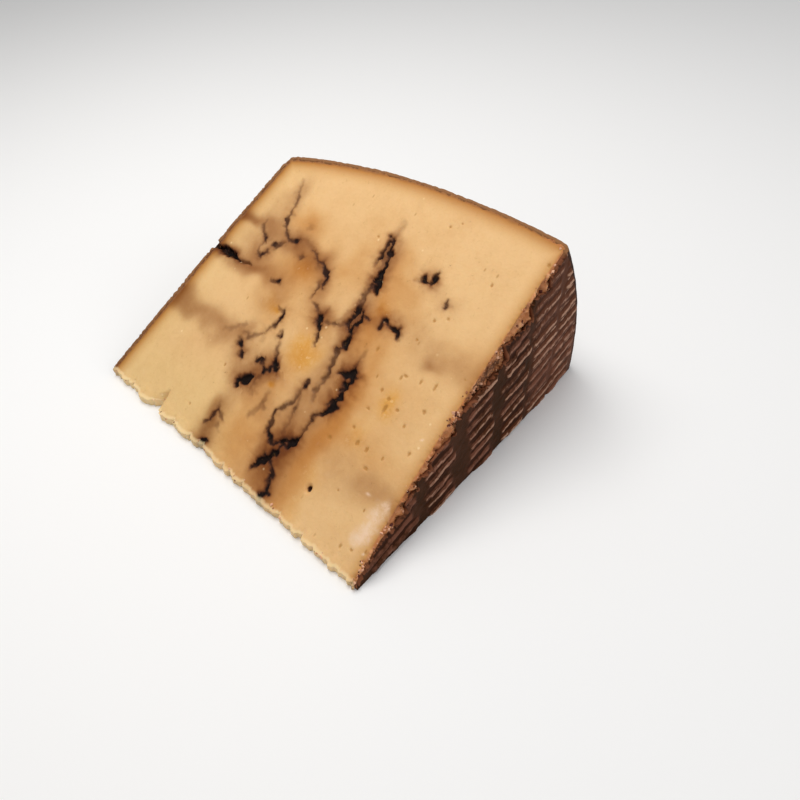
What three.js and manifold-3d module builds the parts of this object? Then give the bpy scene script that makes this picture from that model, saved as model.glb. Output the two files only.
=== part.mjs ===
// A wedge cut from a tall wheel of aged mixed-milk cheese, lying on one of its two cut faces.
//
// The wheel is turned about the Y axis and pressed with the marks of its mould: straw mats left
// rows of low ribs on the two flat sides, and a plaited band left zigzag ribs round the rim.
// Two knife cuts free the wedge, its thin inner edge crumbles, and cracks and small holes show
// in the upper cut face.
//
// Millimetres, +Z up. While it is being shaped the wheel's centre line is the Y axis, X runs
// from that line out to the rim and the lower cut face lies in z = 0. At the end the wedge is
// moved so that the origin is under the middle of its bounding box.

import * as THREE from 'three';
import { mergeVertices } from 'three/addons/utils/BufferGeometryUtils.js';
import Module from 'manifold-3d';

// ---------------------------------------------------------------- driving dimensions, mm

const WHEEL_RADIUS = 111.1; // at the belly of the rim, from the wheel's centre line
const CENTRE_THICKNESS = 127; // of the wheel along its centre line
const NEAR_DRAW_IN = 3.5; // how far the near flat side comes in between centre and rim
const NEAR_DRAW_RATE = 3.2; // how soon it does so: larger is nearer the centre
const NEAR_LEAN = 1.6; // how far the near side stands out again towards the lower cut
const FAR_SLOPE = 14.4; // straight part of the far side's fall between centre and rim
const FAR_BEND = 2.6; // and its curved part, which is all near the rim
const BELLY_Y = 28; // where along the axis the rim is widest
const NEAR_RIM_FALL = 1.2; // loss of radius from the belly to the near edge
const FAR_RIM_FALL = 11.2; // and from the belly to the far edge
const RIM_FALL_POWER = 2.3;
const NEAR_EDGE_ROUND = 1.8; // radii of the rounded edges between rim and flat sides
const FAR_EDGE_ROUND = 2.6;

const CUT_ANGLE = THREE.MathUtils.degToRad(31.5); // slope of the upper cut face
const TIP_NEAR_THICKNESS = 2.5; // the inner edge is not sharp: the centre has crumbled away
const TIP_FAR_THICKNESS = 3.2;
const TOOTH_REACH = 1.1; // ragged teeth along the inner edge stand out by up to this
const TOOTH_ROOT = 0.35; // and the gaps between them go in by up to this
const TOOTH_MIN_STEP = 0.5; // and are this far apart from tip to root
const TOOTH_MAX_STEP = 2.1;
const TOOTH_SHORTEST = 0.2; // the least tooth or gap, as a share of the largest
const CHIP = { y: 95.8, halfWidth: 2.4, depth: 2.6 }; // the one larger chip in that edge

const RIB_HEIGHT = 0.7; // of the mat's ribs above the rind
const RIB_HEIGHT_SPREAD = 0.15;
const RIB_WIDTH = 2.5;
const RIB_WIDTH_SPREAD = 0.3;
const RIB_CREST = 0.45; // width of a rib's crest as a share of its foot
const RIB_ROOT = 0.7; // depth to which a rib is sunk in the rind
const RIB_PITCH = 4; // between two rows at the inner edge
const RIB_FAN = 0.009; // growth of that pitch for each mm towards the rim
const RIB_CLIMB = 0.156; // slope of the row that is counted as the first
const RIB_START = -4.3; // height at which it would meet the inner edge
const RIB_ROWS_BELOW = 3; // rows below it, which only reach the wedge near the rim
const RIB_ROWS = 16;
const RIB_SPREAD = 0.2; // unevenness of the ribs' places in their rows
const RIB_END_SPREAD = 0.9;
const RIB_SHORTEST = 4;
const MAT_PANELS = [[5, 25], [30, 42], [49.5, 61], [65.5, 77.5], [79.5, 92], [92.5, 105]];
const MAT_MARGIN = 4; // bare strip between the mat's ribs and the edge of a flat side

const PLAIT_BANDS = 9; // zigzag bands round the rim
const PLAIT_PITCH = 7; // between the ribs of one band, along the rim
const PLAIT_RISE = 5; // how far a rib climbs round the rim as it crosses its band
const PLAIT_MARGIN = 1.1; // bare strip on both sides of a band
const PLAIT_RIB_HEIGHT = 0.5;
const PLAIT_SPREAD = 0.5; // unevenness of the ribs' places along the rim

const PROFILE_STEPS = 5; // points on each flat side's curve
const RIM_STEPS = 7;
const ROUND_STEPS = 3;
const WHEEL_SEGMENTS = 72; // facets round the whole wheel
const SEED = 20;

// The longest crack, as [distance from the inner edge, y, width], and the one at the far side.
const LONG_CRACK = [
  [90, 54.6, 0.8],
  [83, 54.0, 1.9],
  [75, 51.2, 2.0],
  [66, 49.4, 1.5],
  [56, 48.4, 1.6],
  [45, 46.6, 0.7],
];
const LONG_CRACK_DEPTH = 1.3;
const SIDE_CRACK = [
  [57.6, 121, 3.2],
  [57.8, 113, 2.0],
  [58.0, 103, 0.6],
];
const SIDE_CRACK_DEPTH = 3.2;
const CRACK_FLARE = 1.5; // width of a crack's groove above the cut face, as a share of its width
const CRACK_FLOOR = 0.3; // and at the bottom
const CRACK_FULL_WIDTH = 1.5; // a crack this wide or wider has its full depth
const CRACK_LAP = 0.3; // overlap of two stretches

// Hollows in the upper cut face: [distance from the inner edge, y, radius].
const HOLLOWS = [
  [11.6, 29.6, 1.1],
  [25.6, 72.6, 2.4],
  [34.0, 66.0, 1.9],
  [46.0, 40.4, 2.0],
  [36.5, 39.0, 1.6],
  [17.0, 44.8, 2.2],
  [10.6, 47.6, 2.4],
  [64.6, 38.6, 1.5],
  [83.0, 35.0, 1.5],
  [55.0, 60.5, 1.5],
  [30.5, 21.0, 0.8],
];
const HOLLOW_DEPTH = 0.96; // as a share of its radius
const HOLLOW_SPREAD = 0.25; // unevenness of its width

// Flakes of rind that have broken off the near side, up to the cut edge: each one's lower border
// runs level in X while the edge above it climbs. [from x, to x, drop below the edge at its end].
const FLAKES = [
  [12.5, 21.5, 4.3],
  [22, 27.3, 2.4],
  [28.5, 32.7, 2.9],
  [34.2, 43.2, 3.3],
  [45, 64.8, 5.6],
  [65.6, 76.2, 5.6],
  [79.5, 84, 5.5],
];
const FLAKE_START_DROP = 0.5;
const FLAKE_DEPTH = 0.8;

const EDGE_CRUMBS = 15; // bites out of the crumbly edge between the upper cut and the near side
const EDGE_CRUMB_SIZE = 1.15;
const EDGE_CRUMB_SPREAD = 0.35;
const EDGE_CRUMB_START = 8; // from the inner edge to the first bite
const EDGE_CRUMB_END = 6; // and from the last one to the rim

const CLEARANCE = 20; // by which the shapes that cut the wheel reach past it

// ---------------------------------------------------------------- helpers

// Repeatable random numbers from 0 to 1.
function randomSource(seed) {
  let state = seed;
  return () => {
    state = (state * 1664525 + 1013904223) % 4294967296;
    return state / 4294967296;
  };
}

const random = randomSource(SEED);

// A random number from -size to size.
function jitter(size) {
  return (random() * 2 - 1) * size;
}

const wasm = await Module();
wasm.setup();

// Turns a closed three.js geometry into a solid that can be joined and cut.
function toSolid(geometry) {
  const bare = geometry.clone();
  bare.deleteAttribute('normal');
  bare.deleteAttribute('uv');
  const merged = mergeVertices(bare, 1e-4);
  return new wasm.Manifold(new wasm.Mesh({
    numProp: 3,
    vertProperties: new Float32Array(merged.attributes.position.array),
    triVerts: new Uint32Array(merged.index.array),
  }));
}

// And back again, with one flat normal for each facet.
function toGeometry(solid) {
  const mesh = solid.getMesh();
  const geometry = new THREE.BufferGeometry();
  geometry.setAttribute('position', new THREE.BufferAttribute(mesh.vertProperties, 3));
  geometry.setIndex(new THREE.BufferAttribute(mesh.triVerts, 1));
  geometry.computeVertexNormals();
  return geometry;
}

// The largest body of a solid: a cut can leave a scrap too small to see, which is dropped.
function largestOf(solid) {
  const bodies = solid.decompose();
  return bodies.reduce((kept, other) => (other.volume() > kept.volume() ? other : kept));
}

// ---------------------------------------------------------------- the wheel's own surfaces

// Height along Y of the near flat side at a distance from the centre line.
function nearSide(radius) {
  return NEAR_DRAW_IN * (1 - Math.exp(-NEAR_DRAW_RATE * radius / WHEEL_RADIUS));
}

// The same for the far flat side.
function farSide(radius) {
  const share = radius / WHEEL_RADIUS;
  return CENTRE_THICKNESS - FAR_SLOPE * share - FAR_BEND * share ** 3;
}

// Radius of the rim at a place along the axis.
function rimRadius(y) {
  const nearSpan = BELLY_Y - nearSide(WHEEL_RADIUS);
  const farSpan = farSide(WHEEL_RADIUS) - BELLY_Y;
  const share = y < BELLY_Y ? (BELLY_Y - y) / nearSpan : (y - BELLY_Y) / farSpan;
  const fall = y < BELLY_Y ? NEAR_RIM_FALL : FAR_RIM_FALL;
  return WHEEL_RADIUS - fall * Math.min(share, 1) ** RIM_FALL_POWER;
}

// How far the near side stands out at a point of the wedge, most at the lower cut.
function nearLean(x, z) {
  const share = THREE.MathUtils.clamp(Math.hypot(x, z) / WHEEL_RADIUS, 0, 1);
  const climb = THREE.MathUtils.clamp(Math.atan2(z, Math.max(x, 0.1)) / CUT_ANGLE, 0, 1);
  return -NEAR_LEAN * (1 - climb) * Math.sin(Math.PI * share);
}

// The wheel's outline from the near centre, round the rim, to the far centre.
function wheelProfile() {
  const nearRim = rimRadius(nearSide(WHEEL_RADIUS));
  const farRim = rimRadius(farSide(WHEEL_RADIUS));
  const nearEnd = nearRim - NEAR_EDGE_ROUND;
  const farEnd = farRim - FAR_EDGE_ROUND;
  const nearY = nearSide(nearEnd);
  const farY = farSide(farEnd);
  const points = [];
  for (let i = 0; i < PROFILE_STEPS; i += 1) {
    const radius = nearEnd * i / PROFILE_STEPS;
    points.push(new THREE.Vector2(radius, nearSide(radius)));
  }
  for (let i = 0; i <= ROUND_STEPS; i += 1) {
    const turn = Math.PI / 2 * i / ROUND_STEPS;
    const out = nearEnd + NEAR_EDGE_ROUND * Math.sin(turn);
    points.push(new THREE.Vector2(out, nearY + NEAR_EDGE_ROUND * (1 - Math.cos(turn))));
  }
  const rimStart = nearY + NEAR_EDGE_ROUND;
  const rimEnd = farY - FAR_EDGE_ROUND;
  for (let i = 1; i < RIM_STEPS; i += 1) {
    const y = THREE.MathUtils.lerp(rimStart, rimEnd, i / RIM_STEPS);
    points.push(new THREE.Vector2(rimRadius(y), y));
  }
  for (let i = 0; i <= ROUND_STEPS; i += 1) {
    const turn = Math.PI / 2 * i / ROUND_STEPS;
    const out = farEnd + FAR_EDGE_ROUND * Math.cos(turn);
    points.push(new THREE.Vector2(out, rimEnd + FAR_EDGE_ROUND * Math.sin(turn)));
  }
  for (let i = PROFILE_STEPS - 1; i >= 0; i -= 1) {
    const radius = farEnd * i / PROFILE_STEPS;
    points.push(new THREE.Vector2(radius, farSide(radius)));
  }
  return points;
}

// The whole wheel, with the lean of its near side.
function wheelSolid() {
  const geometry = new THREE.LatheGeometry(wheelProfile(), WHEEL_SEGMENTS);
  const place = geometry.attributes.position;
  for (let i = 0; i < place.count; i += 1) {
    const x = place.getX(i);
    const z = place.getZ(i);
    const isNear = place.getY(i) < NEAR_DRAW_IN + NEAR_EDGE_ROUND;
    place.setY(i, place.getY(i) + (isNear ? nearLean(x, z) : 0));
  }
  return toSolid(geometry);
}

// ---------------------------------------------------------------- marks of the mould

// A low rib between two points of the rind: a bar with sloping sides, sunk in by its root.
function rib(start, end, outward, width, height) {
  const along = new THREE.Vector3().subVectors(end, start);
  const length = along.length();
  along.normalize();
  const across = new THREE.Vector3().crossVectors(outward, along).normalize();
  const up = new THREE.Vector3().crossVectors(along, across);
  const geometry = new THREE.BoxGeometry(length, width, height + RIB_ROOT);
  const place = geometry.attributes.position;
  for (let i = 0; i < place.count; i += 1) {
    if (place.getZ(i) > 0) {
      place.setX(i, place.getX(i) - Math.sign(place.getX(i)) * height);
      place.setY(i, place.getY(i) * RIB_CREST);
    }
  }
  geometry.translate(0, 0, (height - RIB_ROOT) / 2);
  const middle = new THREE.Vector3().addVectors(start, end).multiplyScalar(0.5);
  geometry.applyMatrix4(new THREE.Matrix4().makeBasis(along, across, up).setPosition(middle));
  return toSolid(geometry);
}

// Height of the upper cut plane over a point of the floor.
function cutHeight(x, y) {
  const tip = THREE.MathUtils.lerp(TIP_NEAR_THICKNESS, TIP_FAR_THICKNESS, y / CENTRE_THICKNESS);
  return tip + x * Math.tan(CUT_ANGLE);
}

// Height of one of the mat's rows, which fan out a little towards the rim.
function rowHeight(row, x) {
  return RIB_START + RIB_CLIMB * x + row * (RIB_PITCH + RIB_FAN * x);
}

// The straw mat's ribs on one flat side: rows that run on from panel to panel, with smooth strips
// between the panels.
function matRibs(sideY, outward, shift) {
  const ribs = [];
  const reach = rimRadius(sideY(WHEEL_RADIUS, 0)) - MAT_MARGIN;
  for (const [from, to] of MAT_PANELS) {
    for (let row = shift - RIB_ROWS_BELOW; row < RIB_ROWS; row += 1) {
      const startX = from + jitter(RIB_END_SPREAD);
      const z = rowHeight(row, startX) + jitter(RIB_SPREAD);
      const endX = Math.min(to + jitter(RIB_END_SPREAD), Math.sqrt(reach ** 2 - z ** 2));
      const endZ = rowHeight(row, endX) + jitter(RIB_SPREAD);
      const isOnWedge = endX - startX > RIB_SHORTEST && endZ > 0
        && z < cutHeight(startX, 0) + RIB_PITCH;
      if (isOnWedge) {
        const start = new THREE.Vector3(startX, sideY(startX, z), z);
        const end = new THREE.Vector3(endX, sideY(endX, endZ), endZ);
        const width = RIB_WIDTH + jitter(RIB_WIDTH_SPREAD);
        ribs.push(rib(start, end, outward, width, RIB_HEIGHT + jitter(RIB_HEIGHT_SPREAD)));
      }
    }
  }
  return ribs;
}

// A point of the rim from its place along the axis and its distance round the rim.
function rimPoint(y, distance) {
  const radius = rimRadius(y);
  const angle = distance / WHEEL_RADIUS;
  return new THREE.Vector3(radius * Math.cos(angle), y, radius * Math.sin(angle));
}

// The plaited band's ribs round the rim: bands side by side that slant to and fro.
function plaitRibs() {
  const ribs = [];
  const first = nearSide(WHEEL_RADIUS) + NEAR_EDGE_ROUND;
  const last = farSide(WHEEL_RADIUS) - FAR_EDGE_ROUND;
  const bandWidth = (last - first) / PLAIT_BANDS;
  const arc = WHEEL_RADIUS * CUT_ANGLE;
  for (let band = 0; band < PLAIT_BANDS; band += 1) {
    const slant = band % 2 === 0 ? PLAIT_RISE : -PLAIT_RISE;
    const lowY = first + band * bandWidth + PLAIT_MARGIN;
    const highY = lowY + bandWidth - 2 * PLAIT_MARGIN;
    for (let at = -PLAIT_PITCH; at < arc + PLAIT_PITCH; at += PLAIT_PITCH) {
      const around = at + jitter(PLAIT_SPREAD);
      const start = rimPoint(lowY, around - slant / 2);
      const end = rimPoint(highY, around + slant / 2);
      const middle = rimPoint((lowY + highY) / 2, around);
      const outward = new THREE.Vector3(middle.x, 0, middle.z).normalize();
      const width = RIB_WIDTH + jitter(RIB_WIDTH_SPREAD);
      ribs.push(rib(start, end, outward, width, PLAIT_RIB_HEIGHT + jitter(RIB_HEIGHT_SPREAD)));
    }
  }
  return ribs;
}

// ---------------------------------------------------------------- the knife cuts

// What lies between the two cut planes, longer than the wheel both ways.
function betweenCuts() {
  const start = -2 * TOOTH_REACH;
  const far = WHEEL_RADIUS + CLEARANCE;
  const geometry = new THREE.BoxGeometry(far - start, CENTRE_THICKNESS + 2 * CLEARANCE, 1);
  geometry.translate((far + start) / 2, CENTRE_THICKNESS / 2, 0);
  const place = geometry.attributes.position;
  for (let i = 0; i < place.count; i += 1) {
    const top = cutHeight(place.getX(i), place.getY(i));
    place.setZ(i, place.getZ(i) > 0 ? top : 0);
  }
  return geometry;
}

// The plan of the wedge, with the ragged teeth and the chip of its inner edge.
function raggedPlan() {
  const far = WHEEL_RADIUS + CLEARANCE;
  const shape = new THREE.Shape();
  shape.moveTo(far, -CLEARANCE);
  shape.lineTo(far, CENTRE_THICKNESS + CLEARANCE);
  shape.lineTo(0, CENTRE_THICKNESS + CLEARANCE);
  let isOut = true;
  let y = CENTRE_THICKNESS - TOOTH_MIN_STEP;
  while (y > TOOTH_MIN_STEP) {
    const size = THREE.MathUtils.lerp(TOOTH_SHORTEST, 1, random());
    const tooth = size * (isOut ? -TOOTH_REACH : TOOTH_ROOT);
    const fromChip = Math.abs(y - CHIP.y) / CHIP.halfWidth;
    const chip = CHIP.depth * Math.max(0, 1 - fromChip);
    shape.lineTo(tooth + chip, y);
    y -= THREE.MathUtils.lerp(TOOTH_MIN_STEP, TOOTH_MAX_STEP, random());
    isOut = !isOut;
  }
  shape.lineTo(0, -CLEARANCE);
  const depth = WHEEL_RADIUS + CLEARANCE;
  const geometry = new THREE.ExtrudeGeometry(shape, { depth, bevelEnabled: false, steps: 1 });
  geometry.translate(0, 0, -CLEARANCE / 2);
  return geometry;
}

// ---------------------------------------------------------------- cracks, hollows, crumbs

// A point of the upper cut face, from its distance up the slope and its place along the axis.
function cutPoint(distance, y, below = 0) {
  const x = distance * Math.cos(CUT_ANGLE) + below * Math.sin(CUT_ANGLE);
  const foot = cutHeight(0, y) + distance * Math.sin(CUT_ANGLE);
  return new THREE.Vector3(x, y, foot - below * Math.cos(CUT_ANGLE));
}

// One stretch of a crack: a V-shaped groove whose width goes from one value to the other.
function crackStretch([fromS, fromY, fromWidth], [toS, toY, toWidth], depth) {
  const start = cutPoint(fromS, fromY);
  const end = cutPoint(toS, toY);
  const along = new THREE.Vector3().subVectors(end, start).normalize();
  const up = new THREE.Vector3(-Math.sin(CUT_ANGLE), 0, Math.cos(CUT_ANGLE));
  const across = new THREE.Vector3().crossVectors(up, along).normalize();
  const geometry = new THREE.BoxGeometry(1, 1, 1);
  const place = geometry.attributes.position;
  for (let i = 0; i < place.count; i += 1) {
    const isEnd = place.getX(i) > 0;
    const isTop = place.getZ(i) > 0;
    const width = isEnd ? toWidth : fromWidth;
    const side = Math.sign(place.getY(i)) * width / 2;
    const fullness = Math.min(1, width / CRACK_FULL_WIDTH);
    const at = (isEnd ? end : start).clone();
    at.addScaledVector(along, isEnd ? CRACK_LAP : -CRACK_LAP);
    at.addScaledVector(across, side * (isTop ? CRACK_FLARE : CRACK_FLOOR));
    at.addScaledVector(up, isTop ? depth / 2 : -depth * fullness);
    place.setXYZ(i, at.x, at.y, at.z);
  }
  return geometry;
}

// All stretches of a crack in turn.
function crack(stations, depth) {
  const stretches = [];
  for (let i = 1; i < stations.length; i += 1) {
    stretches.push(crackStretch(stations[i - 1], stations[i], depth));
  }
  return stretches;
}

// A shallow uneven hollow in the upper cut face.
function hollow([distance, y, radius]) {
  const geometry = new THREE.IcosahedronGeometry(radius, 1);
  geometry.scale(1 + jitter(HOLLOW_SPREAD), 1 + jitter(HOLLOW_SPREAD), HOLLOW_DEPTH);
  geometry.rotateZ(jitter(Math.PI));
  geometry.rotateY(-CUT_ANGLE);
  const at = cutPoint(distance, y);
  geometry.translate(at.x, at.y, at.z);
  return geometry;
}

// What breaks off with one flake: a wedge between the near side's surface and a face behind it
// that goes in by the flake's depth as it climbs from the flake's lower border to the cut edge.
function flakeBreak([fromX, toX, drop]) {
  const geometry = new THREE.BoxGeometry(1, 1, 1);
  const place = geometry.attributes.position;
  for (let i = 0; i < place.count; i += 1) {
    const x = place.getX(i) > 0 ? toX : fromX;
    const edge = cutHeight(x, 0);
    const border = edge - (place.getX(i) > 0 ? drop : FLAKE_START_DROP);
    const isInside = place.getY(i) > 0;
    const isTop = place.getZ(i) > 0;
    const surface = nearSide(Math.hypot(x, edge));
    const inner = surface + (isTop ? FLAKE_DEPTH : -FLAKE_DEPTH / 4);
    place.setXYZ(i, x, isInside ? inner : surface - RIB_HEIGHT * 2, isTop ? edge + 1 : border);
  }
  return geometry;
}

// A bite out of the crumbly edge where the upper cut meets the near flat side.
function edgeBite(index) {
  const step = (WHEEL_RADIUS - EDGE_CRUMB_START - EDGE_CRUMB_END) / EDGE_CRUMBS;
  const distance = EDGE_CRUMB_START + (index + 0.5) * step + jitter(step / 3);
  const size = EDGE_CRUMB_SIZE * (1 + jitter(EDGE_CRUMB_SPREAD));
  const at = cutPoint(distance, nearSide(distance) - size / 4, size / 3);
  const geometry = new THREE.IcosahedronGeometry(size, 0);
  geometry.scale(1.5 * (1 + jitter(EDGE_CRUMB_SPREAD)), 0.75, 0.9);
  geometry.rotateX(jitter(1));
  geometry.rotateY(jitter(EDGE_CRUMB_SPREAD) - CUT_ANGLE);
  geometry.translate(at.x, at.y, at.z);
  return geometry;
}

// ---------------------------------------------------------------- the wedge

function wedgeSolid() {
  let body = wheelSolid();
  const near = (x, z) => nearSide(Math.hypot(x, z)) + nearLean(x, z);
  const far = (x, z) => farSide(Math.hypot(x, z));
  const marks = [
    ...matRibs(near, new THREE.Vector3(0, -1, 0), 0),
    ...matRibs(far, new THREE.Vector3(0, 1, 0), 0.5),
    ...plaitRibs(),
  ];
  for (const mark of marks) {
    body = body.add(mark);
  }
  body = body.intersect(toSolid(betweenCuts())).intersect(toSolid(raggedPlan()));
  const cuts = [
    ...crack(LONG_CRACK, LONG_CRACK_DEPTH),
    ...crack(SIDE_CRACK, SIDE_CRACK_DEPTH),
    ...HOLLOWS.map(hollow),
    ...FLAKES.map(flakeBreak),
  ];
  for (let i = 0; i < EDGE_CRUMBS; i += 1) {
    cuts.push(edgeBite(i));
  }
  for (const cut of cuts) {
    body = body.subtract(toSolid(cut));
  }
  return largestOf(body);
}

const geometry = toGeometry(wedgeSolid());
geometry.computeBoundingBox();
const middle = geometry.boundingBox.getCenter(new THREE.Vector3());

const wedge = new THREE.Mesh(
  geometry,
  new THREE.MeshStandardMaterial({ color: 0xe0ba82, roughness: 0.55, metalness: 0 }),
);
wedge.name = 'cheese_wedge';
wedge.position.set(-middle.x, -middle.y, 0);

const cheese = new THREE.Group();
cheese.add(wedge);

export default cheese;
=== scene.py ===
"""A wedge of aged mixed-milk cheese, lying on its lower cut face.

The wheel was pressed between straw mats and inside a plaited band, so its dark rind carries rows
of ribs on both flat sides and zigzag ribs round the rim. The paste is cream to orange brown, with
black veins, small holes and a thin inner edge that has crumbled. Sizes are in millimetres from
the wheel's centre line until a mesh is made, as in the solid that these pieces stand for.
"""

import logging
import math
from dataclasses import dataclass
from enum import Enum, IntEnum
from typing import Union

import bpy
import numpy as np
from mathutils import Matrix, Vector


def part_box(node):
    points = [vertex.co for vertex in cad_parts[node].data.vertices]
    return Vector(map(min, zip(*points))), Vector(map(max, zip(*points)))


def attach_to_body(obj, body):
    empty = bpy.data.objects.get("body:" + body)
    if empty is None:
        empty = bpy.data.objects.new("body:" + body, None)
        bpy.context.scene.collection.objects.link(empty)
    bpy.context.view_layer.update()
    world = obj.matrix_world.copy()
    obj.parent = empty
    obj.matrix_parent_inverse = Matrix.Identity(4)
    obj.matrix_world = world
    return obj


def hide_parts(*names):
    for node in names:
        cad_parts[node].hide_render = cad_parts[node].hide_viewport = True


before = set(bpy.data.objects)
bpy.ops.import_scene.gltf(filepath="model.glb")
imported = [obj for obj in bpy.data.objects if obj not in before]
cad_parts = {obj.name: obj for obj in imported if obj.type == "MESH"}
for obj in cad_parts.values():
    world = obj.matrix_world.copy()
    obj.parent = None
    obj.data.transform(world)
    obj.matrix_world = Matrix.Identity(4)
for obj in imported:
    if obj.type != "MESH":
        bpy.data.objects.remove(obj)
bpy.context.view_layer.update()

log = logging.getLogger("cheese_wedge")

MM = 0.001
NODE = "cheese_wedge"

Array = np.ndarray
Colour = tuple[float, float, float, float]
Spot = tuple[float, float, float]
Number = Union["Value", float]


class Seed(IntEnum):
    """Picks one draw of each thing that is left to chance."""

    CRUMBS = 5
    TWIGS = 7
    TEETH = 17
    BORDER = 51
    BORDER_FINE = 52
    PATCH_UP = 61
    PATCH_ALONG = 62
    VEIN_UP = 71
    VEIN_UP_FINE = 72
    VEIN_ALONG = 73
    VEIN_ALONG_FINE = 74
    VEIN_WIDTH = 75
    FRAYED = 81


# ------------------------------------------------------------------ the pressed and cut form


class Side(Enum):
    """The three parts of the rind."""

    NEAR = 0
    RIM = 1
    FAR = 2


@dataclass(frozen=True)
class WheelForm:
    """The wheel and the two knife cuts that free the wedge, as rules on numpy arrays."""

    radius: float = 111.1  # at the rim's belly
    thickness: float = 127.0  # along the centre line
    near_draw_in: float = 3.5  # of the near flat side between centre and rim
    near_draw_rate: float = 3.2
    near_lean: float = 1.6  # how far that side stands out again at the lower cut
    far_slope: float = 14.4  # the far flat side's fall: its straight part
    far_bend: float = 2.6  # and its curved part
    belly_y: float = 28.0  # where along the axis the rim is widest
    near_rim_fall: float = 1.2  # loss of radius from there to the near edge
    far_rim_fall: float = 11.2  # and to the far edge
    fall_power: float = 2.3
    near_round: float = 1.8  # radii of the edges between the rim and the flat sides
    far_round: float = 2.6
    cut_angle: float = math.radians(31.5)
    tip_near: float = 2.5  # height of the blunt inner edge at its near end
    tip_far: float = 3.2
    tooth_reach: float = 1.09  # how far the solid stands out beyond the centre line
    near_bulge: float = 0.44  # and beyond the near side at the centre line

    def near_side(self, radius: Array) -> Array:
        """Height along the axis of the near flat side at a distance from the centre line."""
        return self.near_draw_in * (1 - np.exp(-self.near_draw_rate * radius / self.radius))

    def far_side(self, radius: Array) -> Array:
        """Height along the axis of the far flat side at a distance from the centre line."""
        share = radius / self.radius
        return self.thickness - self.far_slope * share - self.far_bend * share**3

    def lean(self, x: Array, z: Array) -> Array:
        """How far the near side stands out at a point of the wedge, most at the lower cut."""
        share = np.clip(np.hypot(x, z) / self.radius, 0, 1)
        climb = np.clip(np.arctan2(z, np.maximum(x, 0.1)) / self.cut_angle, 0, 1)
        return -self.near_lean * (1 - climb) * np.sin(np.pi * share)

    def rim_radius(self, y: Array) -> Array:
        """Radius of the rim at a place along the axis, before its edges are rounded."""
        near_span = self.belly_y - self.near_side(self.radius)
        far_span = self.far_side(self.radius) - self.belly_y
        is_near = y < self.belly_y
        share = np.where(is_near, (self.belly_y - y) / near_span, (y - self.belly_y) / far_span)
        fall = np.where(is_near, self.near_rim_fall, self.far_rim_fall)
        return self.radius - fall * np.clip(share, 0, 1) ** self.fall_power

    def edge_radius(self, across: Array, inset: float) -> Array:
        """Radius of the rim with its rounded edges.

        Args:
            across: place between the flat sides, 0 at the near one and 1 at the far one.
            inset: depth below the outer surface.

        Returns:
            The distance from the centre line, less the inset.
        """
        low = self.near_side(self.radius)
        high = self.far_side(self.radius)
        y = low + across * (high - low)
        radius = self.rim_radius(y) - inset
        for edge, distance in ((self.near_round, y - low), (self.far_round, high - y)):
            size = max(edge - inset, 0.05)
            short = np.clip(size - distance, 0, size)
            radius = radius - (size - np.sqrt(size**2 - short**2))
        return radius

    def tip_height(self, across: Array) -> Array:
        """Height of the blunt inner edge."""
        return self.tip_near + (self.tip_far - self.tip_near) * across

    def share_of_arc(self, drop: Array | float, height: Array) -> Array:
        """The share of the way to the lower cut that a drop from an edge so high takes."""
        return drop / height * math.tan(self.cut_angle) / self.cut_angle

    def point(self, out: Array, across: Array, up: Array, inset: float) -> Array:
        """A point in or on the wedge.

        Args:
            out: 0 at the inner edge to 1 at the rim.
            across: 0 at the near flat side to 1 at the far one.
            up: 0 at the lower cut face to 1 at the upper one.
            inset: depth below the rind's outer surface, for the outermost values.

        Returns:
            An array of x, y, z with one more axis than the arguments.
        """
        out, across, up = np.broadcast_arrays(out, across, up)
        radius = self.edge_radius(across, inset)
        tip = self.tip_height(across)
        slope_sine, slope_cosine = math.sin(self.cut_angle), math.cos(self.cut_angle)
        reach = np.sqrt(radius**2 - (tip * slope_cosine) ** 2) - tip * slope_sine
        top_angle = np.arctan2(tip + reach * slope_sine, reach * slope_cosine)
        x = out * radius * np.cos(up * top_angle)
        z = (1 - out) * up * tip + out * radius * np.sin(up * top_angle)
        distance = np.hypot(x, z)
        near = self.near_side(distance) + self.lean(x, z) + inset
        far = self.far_side(distance) - inset
        return np.stack([x, near + across * (far - near), z], axis=-1)


FORM = WheelForm()


class Ripples:
    """A smooth random field over a plane, made of waves in all directions; its spread is 1."""

    LENGTHS = (0.6, 1.7)  # of the waves, as shares of the middle length

    def __init__(self, wavelength: float, seed: int, count: int = 18):
        """Draws the waves.

        Args:
            wavelength: the middle length of the waves, in millimetres.
            seed: picks one field of many.
            count: how many waves there are.
        """
        dice = np.random.default_rng(seed)
        heading = dice.uniform(0, 2 * np.pi, count)
        turns = 2 * np.pi / (wavelength * dice.uniform(*self.LENGTHS, count))
        self.waves = np.stack([
            turns * np.cos(heading), turns * np.sin(heading), dice.uniform(0, 2 * np.pi, count)
        ], axis=1)

    def at(self, first: Array, second: Array) -> Array:
        """The field's value at points of the plane."""
        total = np.zeros(np.broadcast(first, second).shape)
        for along, across, phase in self.waves:
            total += np.sin(along * first + across * second + phase)
        return total / math.sqrt(len(self.waves) / 2)


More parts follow.
